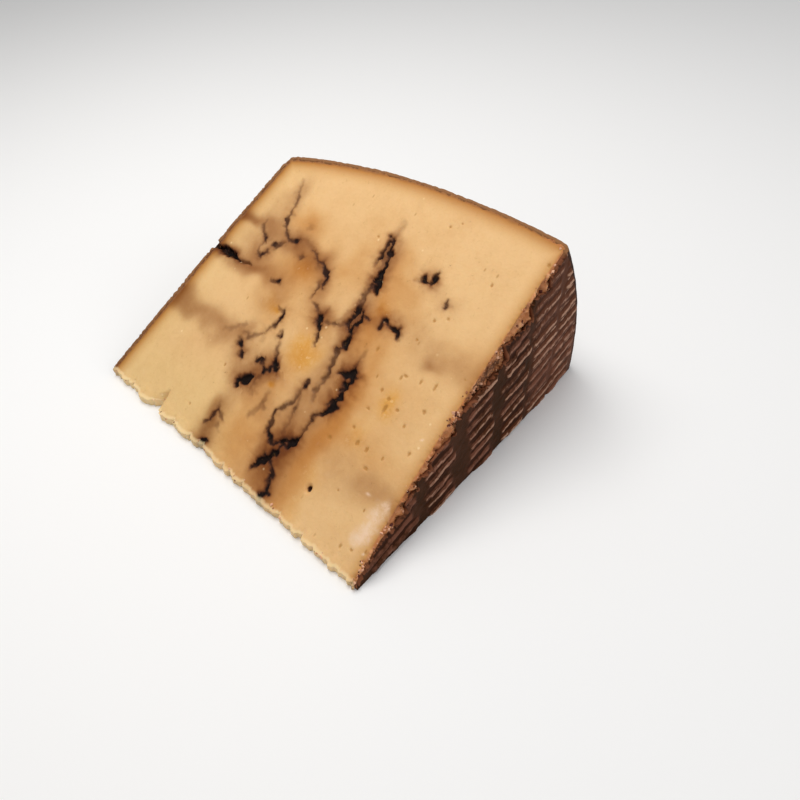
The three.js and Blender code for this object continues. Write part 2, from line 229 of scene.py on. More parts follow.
@dataclass(frozen=True)
class BrokenEdge:
    """Where rind has flaked off below the upper cut edge.

    Each flake is its start and end in X and the drop of its lower border below the cut edge at
    its end: the border runs level while the edge above it climbs. Crumbs gather at a few places.
    """

    flakes: tuple = (
        (12.5, 21.5, 4.3), (22, 27.3, 2.4), (28.5, 32.7, 2.9), (34.2, 43.2, 3.3),
        (45, 64.8, 5.6), (65.6, 76.2, 5.6), (79.5, 84, 5.5),
    )
    start_drop: float = 0.5  # of each flake, at its inner end
    step_run: float = 0.9  # over which its outer end closes
    depth: float = 0.8  # how far the paste goes in behind it
    crumbly: tuple = (3.5, 8.5, 15.0, 24.0, 33.0, 44.0, 53.5, 66.5, 74.0, 79.5, 85.5)
    dark_scar: float = 58.0  # the place along X of the one nearly black scar
    crack_slope: float = 57.6  # the crack in the far side: how far up the slope,
    crack_width: float = 1.7  # half its width
    crack_drop: float = 3.6  # and its depth
    crumble: float = 0.5  # drop of the uneven border between the flakes
    quiet_share: float = 0.25  # of that drop at the rim and the far side
    coarse: tuple[float, float] = (3.2, 1.0)  # the border's waves: their length and strength
    fine: tuple[float, float] = (1.5, 0.8)
    stretch: float = 1.3  # of X in those waves

    def flaked(self, x: Array) -> Array:
        """How far below the cut edge the near side's rind starts, for its flakes alone."""
        total = np.zeros_like(x)
        for start, end, drop in self.flakes:
            share = (x - start) / (end - start)
            inside = (share > 0) & (share < 1)
            lost = self.start_drop + share * (drop - self.start_drop)
            lost = lost * np.clip((end - x) / self.step_run, 0.05, 1)
            total = np.where(inside, lost, total)
        return total

    def drop(self, x: Array, y: Array, side: Array) -> Array:
        """How far below the cut edge the rind starts.

        Args:
            x: distance of the edge's point from the inner edge, level.
            y: its place along the axis.
            side: which side it is on, as the number of a Side.

        Returns:
            The drop at each point.
        """
        uneven = 0.0
        for (length, strength), seed in ((self.coarse, Seed.BORDER), (self.fine, Seed.BORDER_FINE)):
            uneven = uneven + strength * Ripples(length, seed).at(x * self.stretch, y)
        is_near = side == Side.NEAR.value
        total = self.crumble * np.clip(0.5 + uneven, 0, 3) * np.where(is_near, 1, self.quiet_share)
        total = total + np.where(is_near, self.flaked(x), 0)
        from_crack = np.abs(x / math.cos(FORM.cut_angle) - self.crack_slope) / self.crack_width
        crack = self.crack_drop * np.clip(1 - from_crack, 0, 1)
        return np.where(side == Side.FAR.value, np.maximum(total, crack), total)

    def bevel(self, x: Array, below: Array) -> Array:
        """How far the paste goes in behind a flake, at a depth below the cut edge."""
        drop = np.maximum(self.flaked(x), 0.01)
        return self.depth * np.clip(1 - below / drop, 0, 1) * (self.flaked(x) > 0)


EDGE = BrokenEdge()


@dataclass(frozen=True)
class Place:
    """Where the wheel's centre line and near flat side lie in the frame."""

    x: float
    y: float

    @classmethod
    def from_frame(cls) -> "Place":
        """Reads the place off the solid's box: its ragged inner edge and its near side."""
        low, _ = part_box(NODE)
        return cls(low.x / MM + FORM.tooth_reach, low.y / MM + FORM.near_bulge)

    def to_metres(self, points: Array) -> Array:
        """Turns points of the wedge in millimetres into the frame's metres."""
        return (points + np.array([self.x, self.y, 0.0])) * MM


# ------------------------------------------------------------------ what the photograph shows


@dataclass(frozen=True)
class Vein:
    """A dark vein in the upper cut face.

    Each point is the distance up the slope from the inner edge, the place along the axis and
    half the vein's width there.
    """

    points: tuple[Spot, ...]
    depth: float = 0.25
    ink: float = 1.0


@dataclass(frozen=True)
class Patch:
    """A soft-edged patch of another colour: its middle, its two radii and its strength."""

    slope: float
    y: float
    slope_radius: float
    y_radius: float
    strength: float


VEINS = (
    # the stalk and the loop high up on the far side
    Vein(((92.5, 100.4, 0.05), (88.5, 98.9, 0.2), (86, 97.8, 0.35), (83, 96.7, 0.3),
        (80, 96, 0.35), (77, 96.5, 0.5), (75.6, 95.2, 0.4), (74.3, 93.3, 0.45), (72.8, 91.6, 0.45),
        (72.2, 90, 0.45), (72.8, 88.4, 0.5), (73.3, 87.5, 0.8)), 0.25, 0.9),
    Vein(((72.6, 104.3, 0.3), (70.8, 102.8, 0.35), (69.3, 101.2, 0.45), (68.4, 99.8, 0.6),
        (68, 98.8, 0.4)), 0.25, 0.9),
    Vein(((70.6, 91, 0.2), (69.2, 92.8, 0.4), (68, 94.2, 0.6), (67.4, 95.3, 0.4)), 0.25, 0.9),
    Vein(((65.2, 95.4, 0.4), (63.6, 96.4, 0.5), (62.6, 97.6, 0.6), (62.5, 98.8, 0.4),
        (64.5, 99.7, 0.2), (67.6, 100, 0.2)), 0.25, 0.9),
    # the arc that runs from it towards the middle
    Vein(((73.4, 86.8, 0.3), (74.6, 84.5, 0.15), (74.5, 81.5, 0.2), (73.2, 79.5, 0.25)), 0.1, 0.5),
    Vein(((73.2, 79.5, 0.25), (72.2, 76.6, 0.35), (71.2, 74, 0.35), (70.5, 72.2, 0.4),
        (70, 70.6, 0.5), (68.8, 69, 0.55), (67.4, 67.9, 0.65), (65.8, 67.2, 0.5),
        (64.2, 66.8, 0.35))),
    Vein(((65.2, 68.9, 0.3), (63.2, 68.7, 0.45), (61.5, 68.8, 0.5), (60.3, 68.5, 0.3)), 0.25, 0.8),
    Vein(((69.4, 82.3, 0.6), (68.8, 81.2, 0.7)), 0.2, 0.6),
    Vein(((69.6, 74.2, 0.5), (68.8, 73.6, 0.4)), 0.2, 0.6),
    Vein(((78.9, 85.7, 0.4), (79, 84.7, 0.4)), 0.1, 0.4),
    # the open crack at the far side and its end
    Vein(((57.6, 120, 1), (57.6, 112, 1), (57.5, 106.5, 0.8), (57.6, 103.5, 0.25),
        (57.7, 99, 0.1)), 2.2),
    Vein(((57.4, 87.2, 0.25), (57.8, 85.6, 0.35), (58.2, 83.9, 0.6))),
    # crumbs of vein between the arc and the long crack
    Vein(((58.4, 66.4, 0.15), (57.8, 65, 0.4), (57.2, 63.6, 0.35)), 0.25, 0.9),
    Vein(((56.6, 62.4, 0.6), (55.6, 61.3, 1), (53.8, 60.1, 0.8), (51.8, 58.7, 0.6),
        (49.6, 57.5, 0.45), (47.6, 56.6, 0.2)), 0.7),
    Vein(((59.6, 60.3, 0.1), (57.6, 60.3, 0.25), (56, 60.8, 0.4)), 0.2, 0.7),
    Vein(((55.7, 58, 0.3), (56.3, 56.2, 0.35), (56.4, 54.6, 0.4), (57, 52.6, 0.25),
        (58.2, 51.6, 0.3)), 0.25, 0.9),
    Vein(((56.4, 55.2, 0.2), (58.2, 53.8, 0.25), (58.8, 53.2, 0.15)), 0.1, 0.5),
    # the long crack: two strands above, then one, then two again
    Vein(((95, 54.6, 0.05), (91.5, 54.4, 0.15), (89, 54.6, 0.4)), 0.1, 0.6),
    Vein(((88.8, 54.4, 0.5), (87.2, 54.9, 0.6), (85, 54.8, 0.45), (83, 54.6, 0.45),
        (81, 54.6, 0.6), (79, 54.4, 0.25)), 0.9),
    Vein(((88.6, 54.2, 0.5), (86.2, 53.4, 0.55), (84, 52.6, 0.6), (81.6, 52, 0.55),
        (79, 51.2, 0.6), (77, 50.9, 0.8), (75.2, 50.5, 1.2), (73.8, 49.9, 1.1), (72.2, 49.3, 0.9),
        (70.9, 48.2, 0.4)), 1),
    Vein(((86.5, 54.3, 0.6), (82, 53.4, 0.8), (78.5, 52.4, 0.5)), 0.4, 0.5),
    Vein(((75.2, 53.8, 0.15), (75, 52.2, 0.35), (74.8, 51, 0.5)), 0.3, 0.8),
    Vein(((72.5, 51.4, 0.5), (70.5, 51.7, 0.4), (68, 51.6, 0.35), (66, 51.1, 0.4),
        (64.6, 50.4, 0.7)), 0.6, 0.9),
    Vein(((64.6, 50.2, 0.7), (62.5, 50.4, 0.6), (60.5, 50.6, 0.55), (58.6, 50.6, 0.5),
        (57.8, 49.8, 0.45)), 0.9),
    Vein(((64.5, 49, 0.6), (62.5, 48.1, 0.55), (60.5, 48, 0.65), (58.6, 48.5, 0.8),
        (57, 48.5, 0.8)), 0.9),
    Vein(((63.5, 49.3, 0.7), (59, 49.4, 0.8)), 0.5, 0.45),
    Vein(((63, 47.2, 0.4), (62.8, 45.8, 0.5), (62.8, 44.4, 0.25))),
    Vein(((62, 51, 0.3), (61.9, 53.4, 0.12)), 0.2, 0.6),
    Vein(((57, 48.3, 0.6), (55.4, 48.2, 0.5), (54.2, 47.6, 0.8), (53.2, 47.3, 0.9),
        (52.4, 46.6, 0.6)), 0.8),
    Vein(((53.2, 47.8, 0.7), (51.4, 48.2, 0.5), (49.6, 48.4, 0.45), (47.6, 48, 0.4),
        (45.6, 47.5, 0.4), (43.6, 47.1, 0.45), (41.6, 46.8, 0.4), (39, 46.8, 0.3), (36, 46.6, 0.3),
        (33, 46.2, 0.15)), 0.6, 0.9),
    # single spots on the near half
    Vein(((85.4, 34, 0.3), (83.8, 33.8, 0.6), (82.4, 33.7, 0.9)), 0.7),
    Vein(((82.2, 34, 0.6), (81.7, 35.3, 0.4), (82, 36.6, 0.8), (81.4, 37.4, 0.5),
        (80.6, 38.4, 0.15)), 0.7),
    Vein(((78.6, 25.5, 0.35), (78.1, 25.3, 0.45))),
    Vein(((65.4, 40.6, 0.6), (65.3, 39.2, 0.8), (64.8, 38.4, 0.5)), 0.7),
    Vein(((64.6, 40.6, 0.5), (62.8, 40.5, 0.5)), 0.5),
    Vein(((64.4, 37.8, 0.3), (64.5, 36.3, 0.6), (64.6, 34.8, 0.9), (64, 33.8, 0.7),
        (62.6, 32.4, 0.2)), 0.7),
    # thin branches low on the far half
    Vein(((35.3, 92.2, 0.15), (36.8, 89.6, 0.3), (38.3, 87, 0.3)), 0.2, 0.6),
    Vein(((39.6, 86, 0.35), (40.3, 85.2, 0.3)), 0.2, 0.6),
    Vein(((38, 83.8, 0.25), (37.7, 81.4, 0.4), (39.2, 78.6, 0.3), (40.8, 76.6, 0.3)), 0.25, 0.8),
    Vein(((42.6, 76.6, 0.25), (44.4, 75, 0.3), (46, 74.3, 0.5), (48.4, 74.2, 0.6),
        (50.3, 74.4, 0.6), (51.2, 75.4, 0.4), (51.3, 77.2, 0.2))),
    Vein(((35.6, 85, 0.2), (34.6, 83.6, 0.35), (33.8, 82.4, 0.7), (33.4, 81.4, 0.6))),
    Vein(((33, 80.8, 0.3), (31.8, 79.6, 0.6), (31, 78.9, 0.5))),
    Vein(((45.2, 70.6, 0.2), (43.5, 70.2, 0.6), (42.8, 70, 0.5))),
    Vein(((40.5, 68.6, 0.25), (38.6, 67.7, 0.35), (37, 66.8, 0.4), (35.8, 66.4, 0.6))),
    Vein(((35, 66.6, 0.6), (34.6, 65.2, 1), (34.2, 64.2, 1.1), (35, 63.6, 0.5)), 0.7),
    Vein(((34.2, 66.4, 0.6), (32.4, 66.6, 0.6), (31.4, 67.8, 0.7), (32.6, 68.8, 0.5))),
    Vein(((31.4, 67.9, 0.4), (29.4, 68, 0.4), (27.6, 68.3, 0.35), (25.4, 68, 0.25),
        (23.4, 66.8, 0.15)), 0.25, 0.7),
    Vein(((33.8, 69.6, 0.4), (34, 71.4, 0.6), (32.6, 72.2, 0.6), (33.4, 73.6, 0.35))),
    Vein(((27.6, 70.8, 1.2), (26.2, 71.8, 1.5), (24.8, 73.2, 1.4), (24, 74.6, 1), (22.8, 74, 0.6)),
        1),
    # the net that gathers at the inner edge
    Vein(((36.8, 51.3, 0.4), (35.2, 51.4, 0.6), (33.8, 51.7, 0.3))),
    Vein(((33.8, 51.7, 0.2), (30.5, 51.4, 0.3), (28.5, 52.3, 0.35), (26.8, 52.9, 0.35),
        (25, 53.9, 0.35), (23.4, 55, 0.45), (21.4, 54.8, 0.4), (19.4, 53.8, 0.4),
        (17.6, 52.8, 0.6), (16.4, 52, 0.8), (15.4, 50.4, 0.5), (15.6, 49, 0.5), (17, 47.6, 0.7))),
    Vein(((31.4, 50, 0.2), (29.2, 49.4, 0.3), (27.8, 49.1, 0.5), (26, 48.9, 0.25), (23, 48.6, 0.2),
        (19.6, 48.2, 0.2)), 0.25, 0.8),
    Vein(((20.6, 42.6, 0.7), (19.4, 43.6, 1.1), (18.4, 44.8, 1.5), (17.6, 46.2, 1),
        (17.2, 47.6, 0.6)), 1),
    Vein(((16.6, 45.2, 0.6), (14.6, 45.8, 0.45), (13, 46.2, 0.8))),
    Vein(((12.9, 46.2, 0.9), (12.2, 47.4, 1.4), (10.8, 48.4, 1.4), (9, 49.6, 1.2),
        (7.2, 50.2, 0.9), (6.2, 50.4, 0.5)), 1),
    Vein(((10.6, 45.8, 0.5), (8.6, 43.9, 0.5), (7, 42.9, 0.6), (5, 42, 0.7), (3, 41, 0.8),
        (1.4, 41.6, 0.9), (-0.4, 42.2, 0.6))),
    Vein(((27.2, 61.4, 0.12), (25, 61, 0.25), (23, 61, 0.4), (21.2, 61.5, 0.3), (19.4, 61.9, 0.25),
        (17.4, 62.9, 0.3)), 0.2, 0.7),
    Vein(((22.7, 61, 0.3), (22.6, 59.6, 0.3)), 0.2, 0.7),
    Vein(((11, 71, 0.3), (12, 72.8, 0.3), (12.4, 74.2, 0.5), (10.4, 75, 0.5), (8.2, 75.6, 0.5),
        (6.4, 76.6, 0.35)), 0.25, 0.9),
    Vein(((12.4, 74.2, 0.4), (14.6, 75.6, 0.15)), 0.2, 0.8),
    Vein(((8.2, 71.4, 0.6), (7.6, 70.6, 0.4)), 0.1, 0.5),
    Vein(((1.8, 72.2, 1), (0.4, 72.8, 1.1), (-0.8, 73, 0.8))),
    # the knotted vein right of the long crack
    Vein(((54.2, 39.7, 0.12), (51, 39.5, 0.25), (48.6, 39.6, 0.4)), 0.2, 0.8),
    Vein(((47.6, 39.6, 0.9), (46.4, 39.4, 1.2), (45, 38.9, 1.3), (43.4, 38.6, 1.2),
        (41.6, 38.8, 0.8), (40.6, 39.4, 0.5)), 0.8),
    Vein(((45.6, 40.4, 1), (44.9, 41.8, 0.9), (44.6, 43, 0.4)), 0.7),
    Vein(((46.4, 38.4, 0.6), (46.3, 37, 0.4), (46.9, 36.2, 0.2)), 0.4),
    Vein(((39.6, 38.8, 0.6), (38.2, 38.6, 1.1), (36.6, 38.4, 1.2), (35, 38.6, 1.1), (33.4, 39, 1),
        (32.2, 39.8, 0.6), (31, 41, 0.35), (29.6, 41.9, 0.4), (28, 42.2, 0.5), (26, 42.2, 0.3),
        (24, 42.3, 0.3), (22.2, 42.2, 0.4), (20.8, 42.5, 0.6)), 0.6),
    Vein(((36.2, 39.4, 0.6), (34.8, 40.4, 0.4))),
)

# Small holes: distance up the slope, place along the axis, half the length up the slope and half
# the width along the axis.
HOLES = (
    (31, 24.6, 0.8, 0.6), (30.9, 20.8, 0.9, 0.5), (27.3, 33.4, 0.6, 0.7), (26.5, 17.8, 0.5, 0.9),
    (5.3, 10.8, 0.8, 0.35), (6.4, 7.4, 0.4, 0.5), (42.5, 15.1, 0.6, 0.4), (48.9, 12.4, 0.5, 0.6),
    (45.1, 19.7, 0.5, 0.6), (46.4, 24.1, 0.5, 0.6), (43.4, 23.4, 1.3, 0.55), (40.8, 28, 0.35, 0.7),
    (47.5, 27.7, 0.6, 0.5), (56.8, 36.7, 0.9, 0.45), (56.5, 13.8, 1.3, 0.4),
    (55.6, 18.5, 0.9, 0.4), (54.6, 23.7, 0.4, 0.8), (53.4, 24.6, 0.9, 0.4), (37, 9, 0.7, 0.4),
    (31.5, 15, 0.7, 0.35), (65.2, 27.2, 0.35, 0.4), (75, 22.5, 0.45, 0.5), (72.5, 26, 0.5, 0.45),
    (89.3, 16.9, 0.55, 0.4), (102, 36.6, 0.35, 0.4), (99.5, 39.6, 0.45, 0.5),
    (101.5, 5.8, 0.5, 0.5), (87, 60, 0.4, 0.55), (25.4, 83, 0.6, 0.4), (8, 86.3, 0.5, 0.4),
    (34, 28.5, 0.5, 0.5), (16.9, 21.2, 0.35, 0.4), (17, 10.8, 0.6, 0.35), (50, 31.5, 0.5, 0.3),
    (62.5, 7.5, 0.3, 0.4),
)
# The one deep hole, painted dark with shade, measured in the same way.
PIT = (11.8, 29.5, 1.15, 0.85)

STAINS = (
    # brown bands that run in from the far side
    Patch(57.7, 112, 2.9, 12, 0.95), Patch(57.5, 97, 3.2, 9, 0.8), Patch(72.8, 113, 3.4, 9, 0.9),
    Patch(72.5, 100, 3.8, 7, 0.75), Patch(35.5, 121, 4.8, 10, 0.8), Patch(35, 106, 5, 13, 0.62),
    Patch(34, 93, 4.4, 8, 0.45), Patch(64.5, 106, 4, 7, 0.4), Patch(80, 105, 5, 7, 0.3),
    Patch(90, 98.5, 6, 3, 0.3),
    # the mauve patch and the faint bands on the near half
    Patch(62, 18, 2, 3, 0.5), Patch(64, 12, 5, 16, 0.42), Patch(67, 30, 5, 9, 0.15),
    Patch(23, 13, 4.2, 17, 0.45), Patch(17, 16, 4, 14, 0.2), Patch(77.5, 23.5, 3.5, 3.5, 0.35),
    # the cloudy middle
    Patch(72, 86, 4.2, 8, 0.8), Patch(70.5, 74, 4, 6, 0.55), Patch(63, 98, 3.6, 4, 0.65),
    Patch(59, 86, 7, 9, 0.45), Patch(52, 80, 5, 5, 0.25), Patch(64, 68, 6, 4, 0.5),
    Patch(38, 84, 5, 6, 0.55), Patch(31, 80, 5, 5, 0.45), Patch(34, 68, 8, 6, 0.4),
    Patch(25, 74, 5, 6, 0.55), Patch(22, 60, 7, 6, 0.3), Patch(9, 74.5, 9, 4, 0.75),
    Patch(15, 74, 3, 4, 0.3), Patch(1, 73, 5, 5, 0.5), Patch(57, 61, 5, 6, 0.5),
    Patch(70, 50.5, 16, 3.4, 0.3), Patch(81, 50.5, 7, 2.6, 0.45), Patch(48, 49, 14, 4, 0.4),
    Patch(40, 42, 12, 4.4, 0.55), Patch(30, 49, 12, 5, 0.4), Patch(17, 45, 12, 7, 0.65),
    Patch(5, 45, 8, 7, 0.65), Patch(83, 98, 9, 3, 0.35), Patch(66, 39, 4, 6, 0.3),
)

WARM = (
    Patch(28, 35, 42, 5.5, 0.72), Patch(60, 43.5, 14, 5, 0.65), Patch(8, 60, 14, 12, 0.5),
    Patch(66, 78, 9, 12, 0.65), Patch(26, 64, 14, 8, 0.4), Patch(50, 78, 9, 10, 0.35),
    Patch(54, 60, 7, 8, 0.4), Patch(80, 60, 12, 6, 0.35), Patch(80, 47.5, 12, 6, 0.5),
    Patch(10, 44, 24, 9, 0.5), Patch(46, 24, 12, 12, 0.3), Patch(30, 20, 6, 14, 0.35),
    Patch(80, 87, 6, 10, 0.6), Patch(66, 10, 9, 12, 0.3), Patch(72, 62, 5, 6, 0.4),
    Patch(74, 40, 6, 8, 0.3), Patch(40, 58, 10, 7, 0.25), Patch(58, 92, 8, 10, 0.4),
)

GOLD = (
    Patch(45, 23.5, 5, 4, 0.7), Patch(43, 58.5, 6, 6, 0.8), Patch(67, 78, 4, 5, 0.5),
    Patch(50.5, 80, 3, 3.5, 0.5), Patch(30, 62.5, 1.5, 1.5, 0.9), Patch(32, 26, 5, 4, 0.4),
    Patch(49.5, 78.5, 1.4, 1.4, 0.8), Patch(15, 31, 5, 3, 0.3), Patch(68.5, 42.5, 3, 3.5, 0.6),
    Patch(4, 30, 6, 4, 0.3),
)

# Pale patches: a smear near the inner edge that is partly pale fat and partly painted glare, two
# small painted highlight spots on it at about 21 up the slope, and pale specks.
PALE_AND_GLINTS = (
    Patch(17, 6.6, 4.2, 1.7, 0.9), Patch(11.5, 7.6, 3.6, 1.6, 0.7),
    Patch(20.8, 7.2, 1.2, 1.4, 0.8), Patch(21.6, 11.3, 0.5, 0.8, 0.8),
    Patch(42.8, 6.5, 0.5, 1.1, 1), Patch(53, 6.4, 0.8, 0.6, 0.45), Patch(8.2, 4.4, 0.5, 0.5, 0.8),
)


# ------------------------------------------------------------------ node trees as expressions


class Value:
    """A number socket of a node tree that Python's own operators work on."""

    def __init__(self, graph: "Graph", socket: bpy.types.NodeSocket):
        """Wraps one socket of the graph."""
        self.graph = graph
        self.socket = socket

    def math(self, operation: str, *operands: Number) -> "Value":
        """Adds one Math node on these operands."""
        settings = {"operation": operation}
        return self.graph.node("ShaderNodeMath", settings, dict(enumerate(operands))).out()

    def __add__(self, other: Number) -> "Value":
        """Adds."""
        return self.math("ADD", self, other)

    __radd__ = __add__

    def __sub__(self, other: Number) -> "Value":
        """Subtracts."""
        return self.math("SUBTRACT", self, other)

    def __rsub__(self, other: Number) -> "Value":
        """Subtracts from a number."""
        return self.math("SUBTRACT", other, self)

    def __mul__(self, other: Number) -> "Value":
        """Multiplies."""
        return self.math("MULTIPLY", self, other)

    __rmul__ = __mul__

    def __truediv__(self, other: Number) -> "Value":
        """Divides."""
        return self.math("DIVIDE", self, other)

    def __rtruediv__(self, other: Number) -> "Value":
        """Divides a number."""
        return self.math("DIVIDE", other, self)

    def __pow__(self, power: float) -> "Value":
        """Raises to a power."""
        return self.math("POWER", self, power)

    def floor(self) -> "Value":
        """The whole number below."""
        return self.math("FLOOR", self)

    def fraction(self) -> "Value":
        """What is left above the whole number below."""
        return self.math("FRACT", self)

    def size(self) -> "Value":
        """The value without its sign."""
        return self.math("ABSOLUTE", self)

    def at_least(self, other: Number) -> "Value":
        """The larger of two."""
        return self.math("MAXIMUM", self, other)

    def at_most(self, other: Number) -> "Value":
        """The smaller of two."""
        return self.math("MINIMUM", self, other)

    def ramp(self, start: float, end: float, low: float = 0.0, high: float = 1.0) -> "Value":
        """A smooth step.

        Args:
            start: the value at which the result is low.
            end: the value at which it is high; it may be the smaller of the two.
            low: the result at start and before.
            high: the result at end and after.

        Returns:
            The stepped value.
        """
        settings = {"interpolation_type": "SMOOTHSTEP"}
        values = {0: self, 1: start, 2: end, 3: low, 4: high}
        return self.graph.node("ShaderNodeMapRange", settings, values).out()


class Node:
    """A node of a graph, for its outputs."""

    def __init__(self, graph: "Graph", node: bpy.types.Node):
        """Wraps one node."""
        self.graph = graph
        self.node = node

    def out(self, key: int | str = 0) -> Value:
        """One output as a value."""
        return Value(self.graph, self.node.outputs[key])


@dataclass(frozen=True)
class Noise:
    """One pattern of fractal noise, about 0.5 in the middle.

    It has so many features for each metre and octaves past the first, which are as strong as
    rough says; distort folds it, and pick is the fourth coordinate, which tells patterns apart.
    """

    scale: float
    detail: float
    rough: float
    distort: float
    pick: float


@dataclass(frozen=True)
class Dots:
    """Small round dots in a few cells of a random pattern.

    It has so many cells for each metre. A dot fades out between its inner and its outer radius,
    which are shares of a cell, and empty is the share of the cells that stay without one.
    """

    scale: float
    outer: float
    inner: float
    empty: float = 0.93
    empty_blur: float = 0.03


@dataclass(frozen=True)
class Polish:
    """What is constant over a surface: its bump, its shine and how far light goes in."""

    bump: float
    bump_depth: float = 0.0006
    specular: float = 0.1
    glow: float = 0.0
    glow_radii: Spot = (1.0, 0.55, 0.25)
    glow_scale: float = 0.0015


class Graph:
    """A node tree that is filled by one method."""

    def __init__(self, tree: bpy.types.NodeTree):
        """Wraps an empty tree."""
        self.tree = tree

    def node(self, kind: str, settings: dict | None = None, values: dict | None = None) -> Node:
        """Adds a node.

        Args:
            kind: the node's type name.
            settings: its properties, which are set before the sockets.
            values: what goes into its input sockets, by name or place: a value, node or number.

        Returns:
            The wrapped node.
        """
        made = self.tree.nodes.new(kind)
        for name, setting in (settings or {}).items():
            setattr(made, name, setting)
        for key, value in (values or {}).items():
            socket = made.inputs[key]
            if isinstance(value, Value):
                self.tree.links.new(value.socket, socket)
            elif isinstance(value, Node):
                self.tree.links.new(value.node.outputs[0], socket)
            else:
                socket.default_value = value
        return Node(self, made)

    @classmethod
    def of_material(cls, material: bpy.types.Material) -> "Graph":
        """Empties a material's tree and wraps it."""
        material.use_nodes = True
        material.node_tree.nodes.clear()
        return cls(material.node_tree)

    def field(self, name: str) -> Value:
        """One of the mesh's own numbers, in a shader."""
        return self.node("ShaderNodeAttribute", {"attribute_name": name}).out("Fac")

    def noise(self, place: Value, pattern: Noise) -> Value:
        """A noise pattern, read at some coordinates."""
        return self.node("ShaderNodeTexNoise", {"noise_dimensions": "4D"}, {
            "Vector": place, "W": pattern.pick, "Scale": pattern.scale, "Detail": pattern.detail,
            "Roughness": pattern.rough, "Distortion": pattern.distort,
        }).out()

    def mix(self, factor: Number, first: "Value | tuple", second: "Value | tuple",
            blend: str = "MIX") -> Value:
        """Mixes two colours by a factor."""
        settings = {"data_type": "RGBA", "blend_type": blend, "clamp_factor": True}
        values = {0: factor, 6: first, 7: second}
        return self.node("ShaderNodeMix", settings, values).out(2)

    def dye(self, factor: Number, colour: Value, tint: tuple) -> Value:
        """Lays two coats of a tint over a colour, as far as the factor says."""
        once = self.mix(factor, colour, tint, "MULTIPLY")
        return self.mix(factor, once, tint, "MULTIPLY")

    def dots(self, place: Value, pattern: Dots) -> Value:
        """A pattern of dots, read at some coordinates: 1 inside a dot and 0 outside."""
        settings = {"feature": "F1", "voronoi_dimensions": "3D"}
        cells = self.node("ShaderNodeTexVoronoi", settings, {
            "Vector": place, "Scale": pattern.scale, "Randomness": 1.0,
        })
        luck = self.node("ShaderNodeSeparateColor", {}, {0: cells.out("Color")}).out(0)
        is_full = luck.ramp(pattern.empty, pattern.empty + pattern.empty_blur)
        return cells.out("Distance").ramp(pattern.outer, pattern.inner) * is_full

    def surface(self, colour: Value, roughness: Value, height: Value, polish: Polish) -> None:
        """Ends a material's tree.

        Args:
            colour: the surface's base colour.
            roughness: its roughness.
            height: what its bump follows.
            polish: what is constant over it.
        """
        bump = self.node("ShaderNodeBump", {}, {
            "Strength": polish.bump, "Distance": polish.bump_depth, "Height": height,
        })
        shader = self.node("ShaderNodeBsdfPrincipled", {}, {
            "Base Color": colour,
            "Roughness": roughness,
            "Normal": bump,
            "Specular IOR Level": polish.specular,
            "Subsurface Weight": polish.glow,
            "Subsurface Radius": polish.glow_radii,
            "Subsurface Scale": polish.glow_scale,
        })
        self.node("ShaderNodeOutputMaterial", {}, {"Surface": shader})


def srgb(red: int, green: int, blue: int) -> Colour:
    """A display colour from 0 to 255 as the linear colour that a shader takes."""
    linear = []
    for channel in (red, green, blue):
        share = channel / 255
        linear.append(share / 12.92 if share <= 0.04045 else ((share + 0.055) / 1.055) ** 2.4)
    return (*linear, 1.0)


# ------------------------------------------------------------------ finishes


@dataclass(frozen=True)
class PasteFinish:
    """The cut paste: cream, with browner stains, black veins and a brown border at the rind.

    A tint is laid on in two coats, so it is the square root of its whole effect.
    """

    cream: Colour = srgb(231, 189, 134)
    green_cream: Colour = srgb(229, 192, 134)
    warm_tint: Colour = (0.80, 0.62, 0.40, 1.0)
    gold_tint: Colour = (0.98, 0.88, 0.60, 1.0)
    stain_tint: Colour = (0.62, 0.49, 0.40, 1.0)
    rust_tint: Colour = (0.82, 0.70, 0.56, 1.0)
    edge_tint: Colour = (0.75, 0.59, 0.38, 1.0)
    flesh: Colour = srgb(220, 160, 114)
    near_border: Colour = srgb(186, 120, 76)
    far_border: Colour = srgb(146, 100, 64)
    bark: Colour = srgb(98, 54, 30)
    umber: Colour = srgb(58, 27, 15)
    soot: Colour = srgb(20, 9, 6)
    pit: Colour = srgb(176, 122, 56)
    # pale is the smear's colour, and also its painted glare and painted highlight spots
    pale: Colour = srgb(244, 214, 186)
    speck: Colour = srgb(250, 222, 172)
    broad: Noise = Noise(22, 2, 0.5, 0.3, 1.0)
    patchy: Noise = Noise(90, 3, 0.55, 0.4, 2.0)
    grain: Noise = Noise(420, 3, 0.6, 0.0, 3.0)
    fine: Noise = Noise(1500, 2, 0.6, 0.0, 4.0)
    spiky: Noise = Noise(560, 4, 0.72, 0.7, 5.0)
    dashes: Dots = Dots(420.0, 0.2, 0.06)
    dash_squeeze: Spot = (0.5, 1.0, 0.5)  # less than 1 draws the dots out along that axis
    specks: Dots = Dots(330.0, 0.2, 0.05)
    edge_reach: float = 7.0  # how far in the border's tint goes, in millimetres
    edge_power: float = 2.4
    polish: Polish = Polish(bump=0.42, glow=0.15)

    def material(self) -> bpy.types.Material:
        """Builds the material, which reads the paste's own attributes and Object coordinates."""
        material = bpy.data.materials.new("cheese_paste")
        paint = PastePaint(Graph.of_material(material), self)
        colour = paint.body()
        colour = paint.bordered(colour)
        colour = paint.veined(colour)
        colour = paint.pitted(colour)
        colour = paint.broken(colour)
        colour = paint.flecked(colour)
        paint.graph.surface(colour, paint.roughness(), paint.height(), self.polish)
        return material


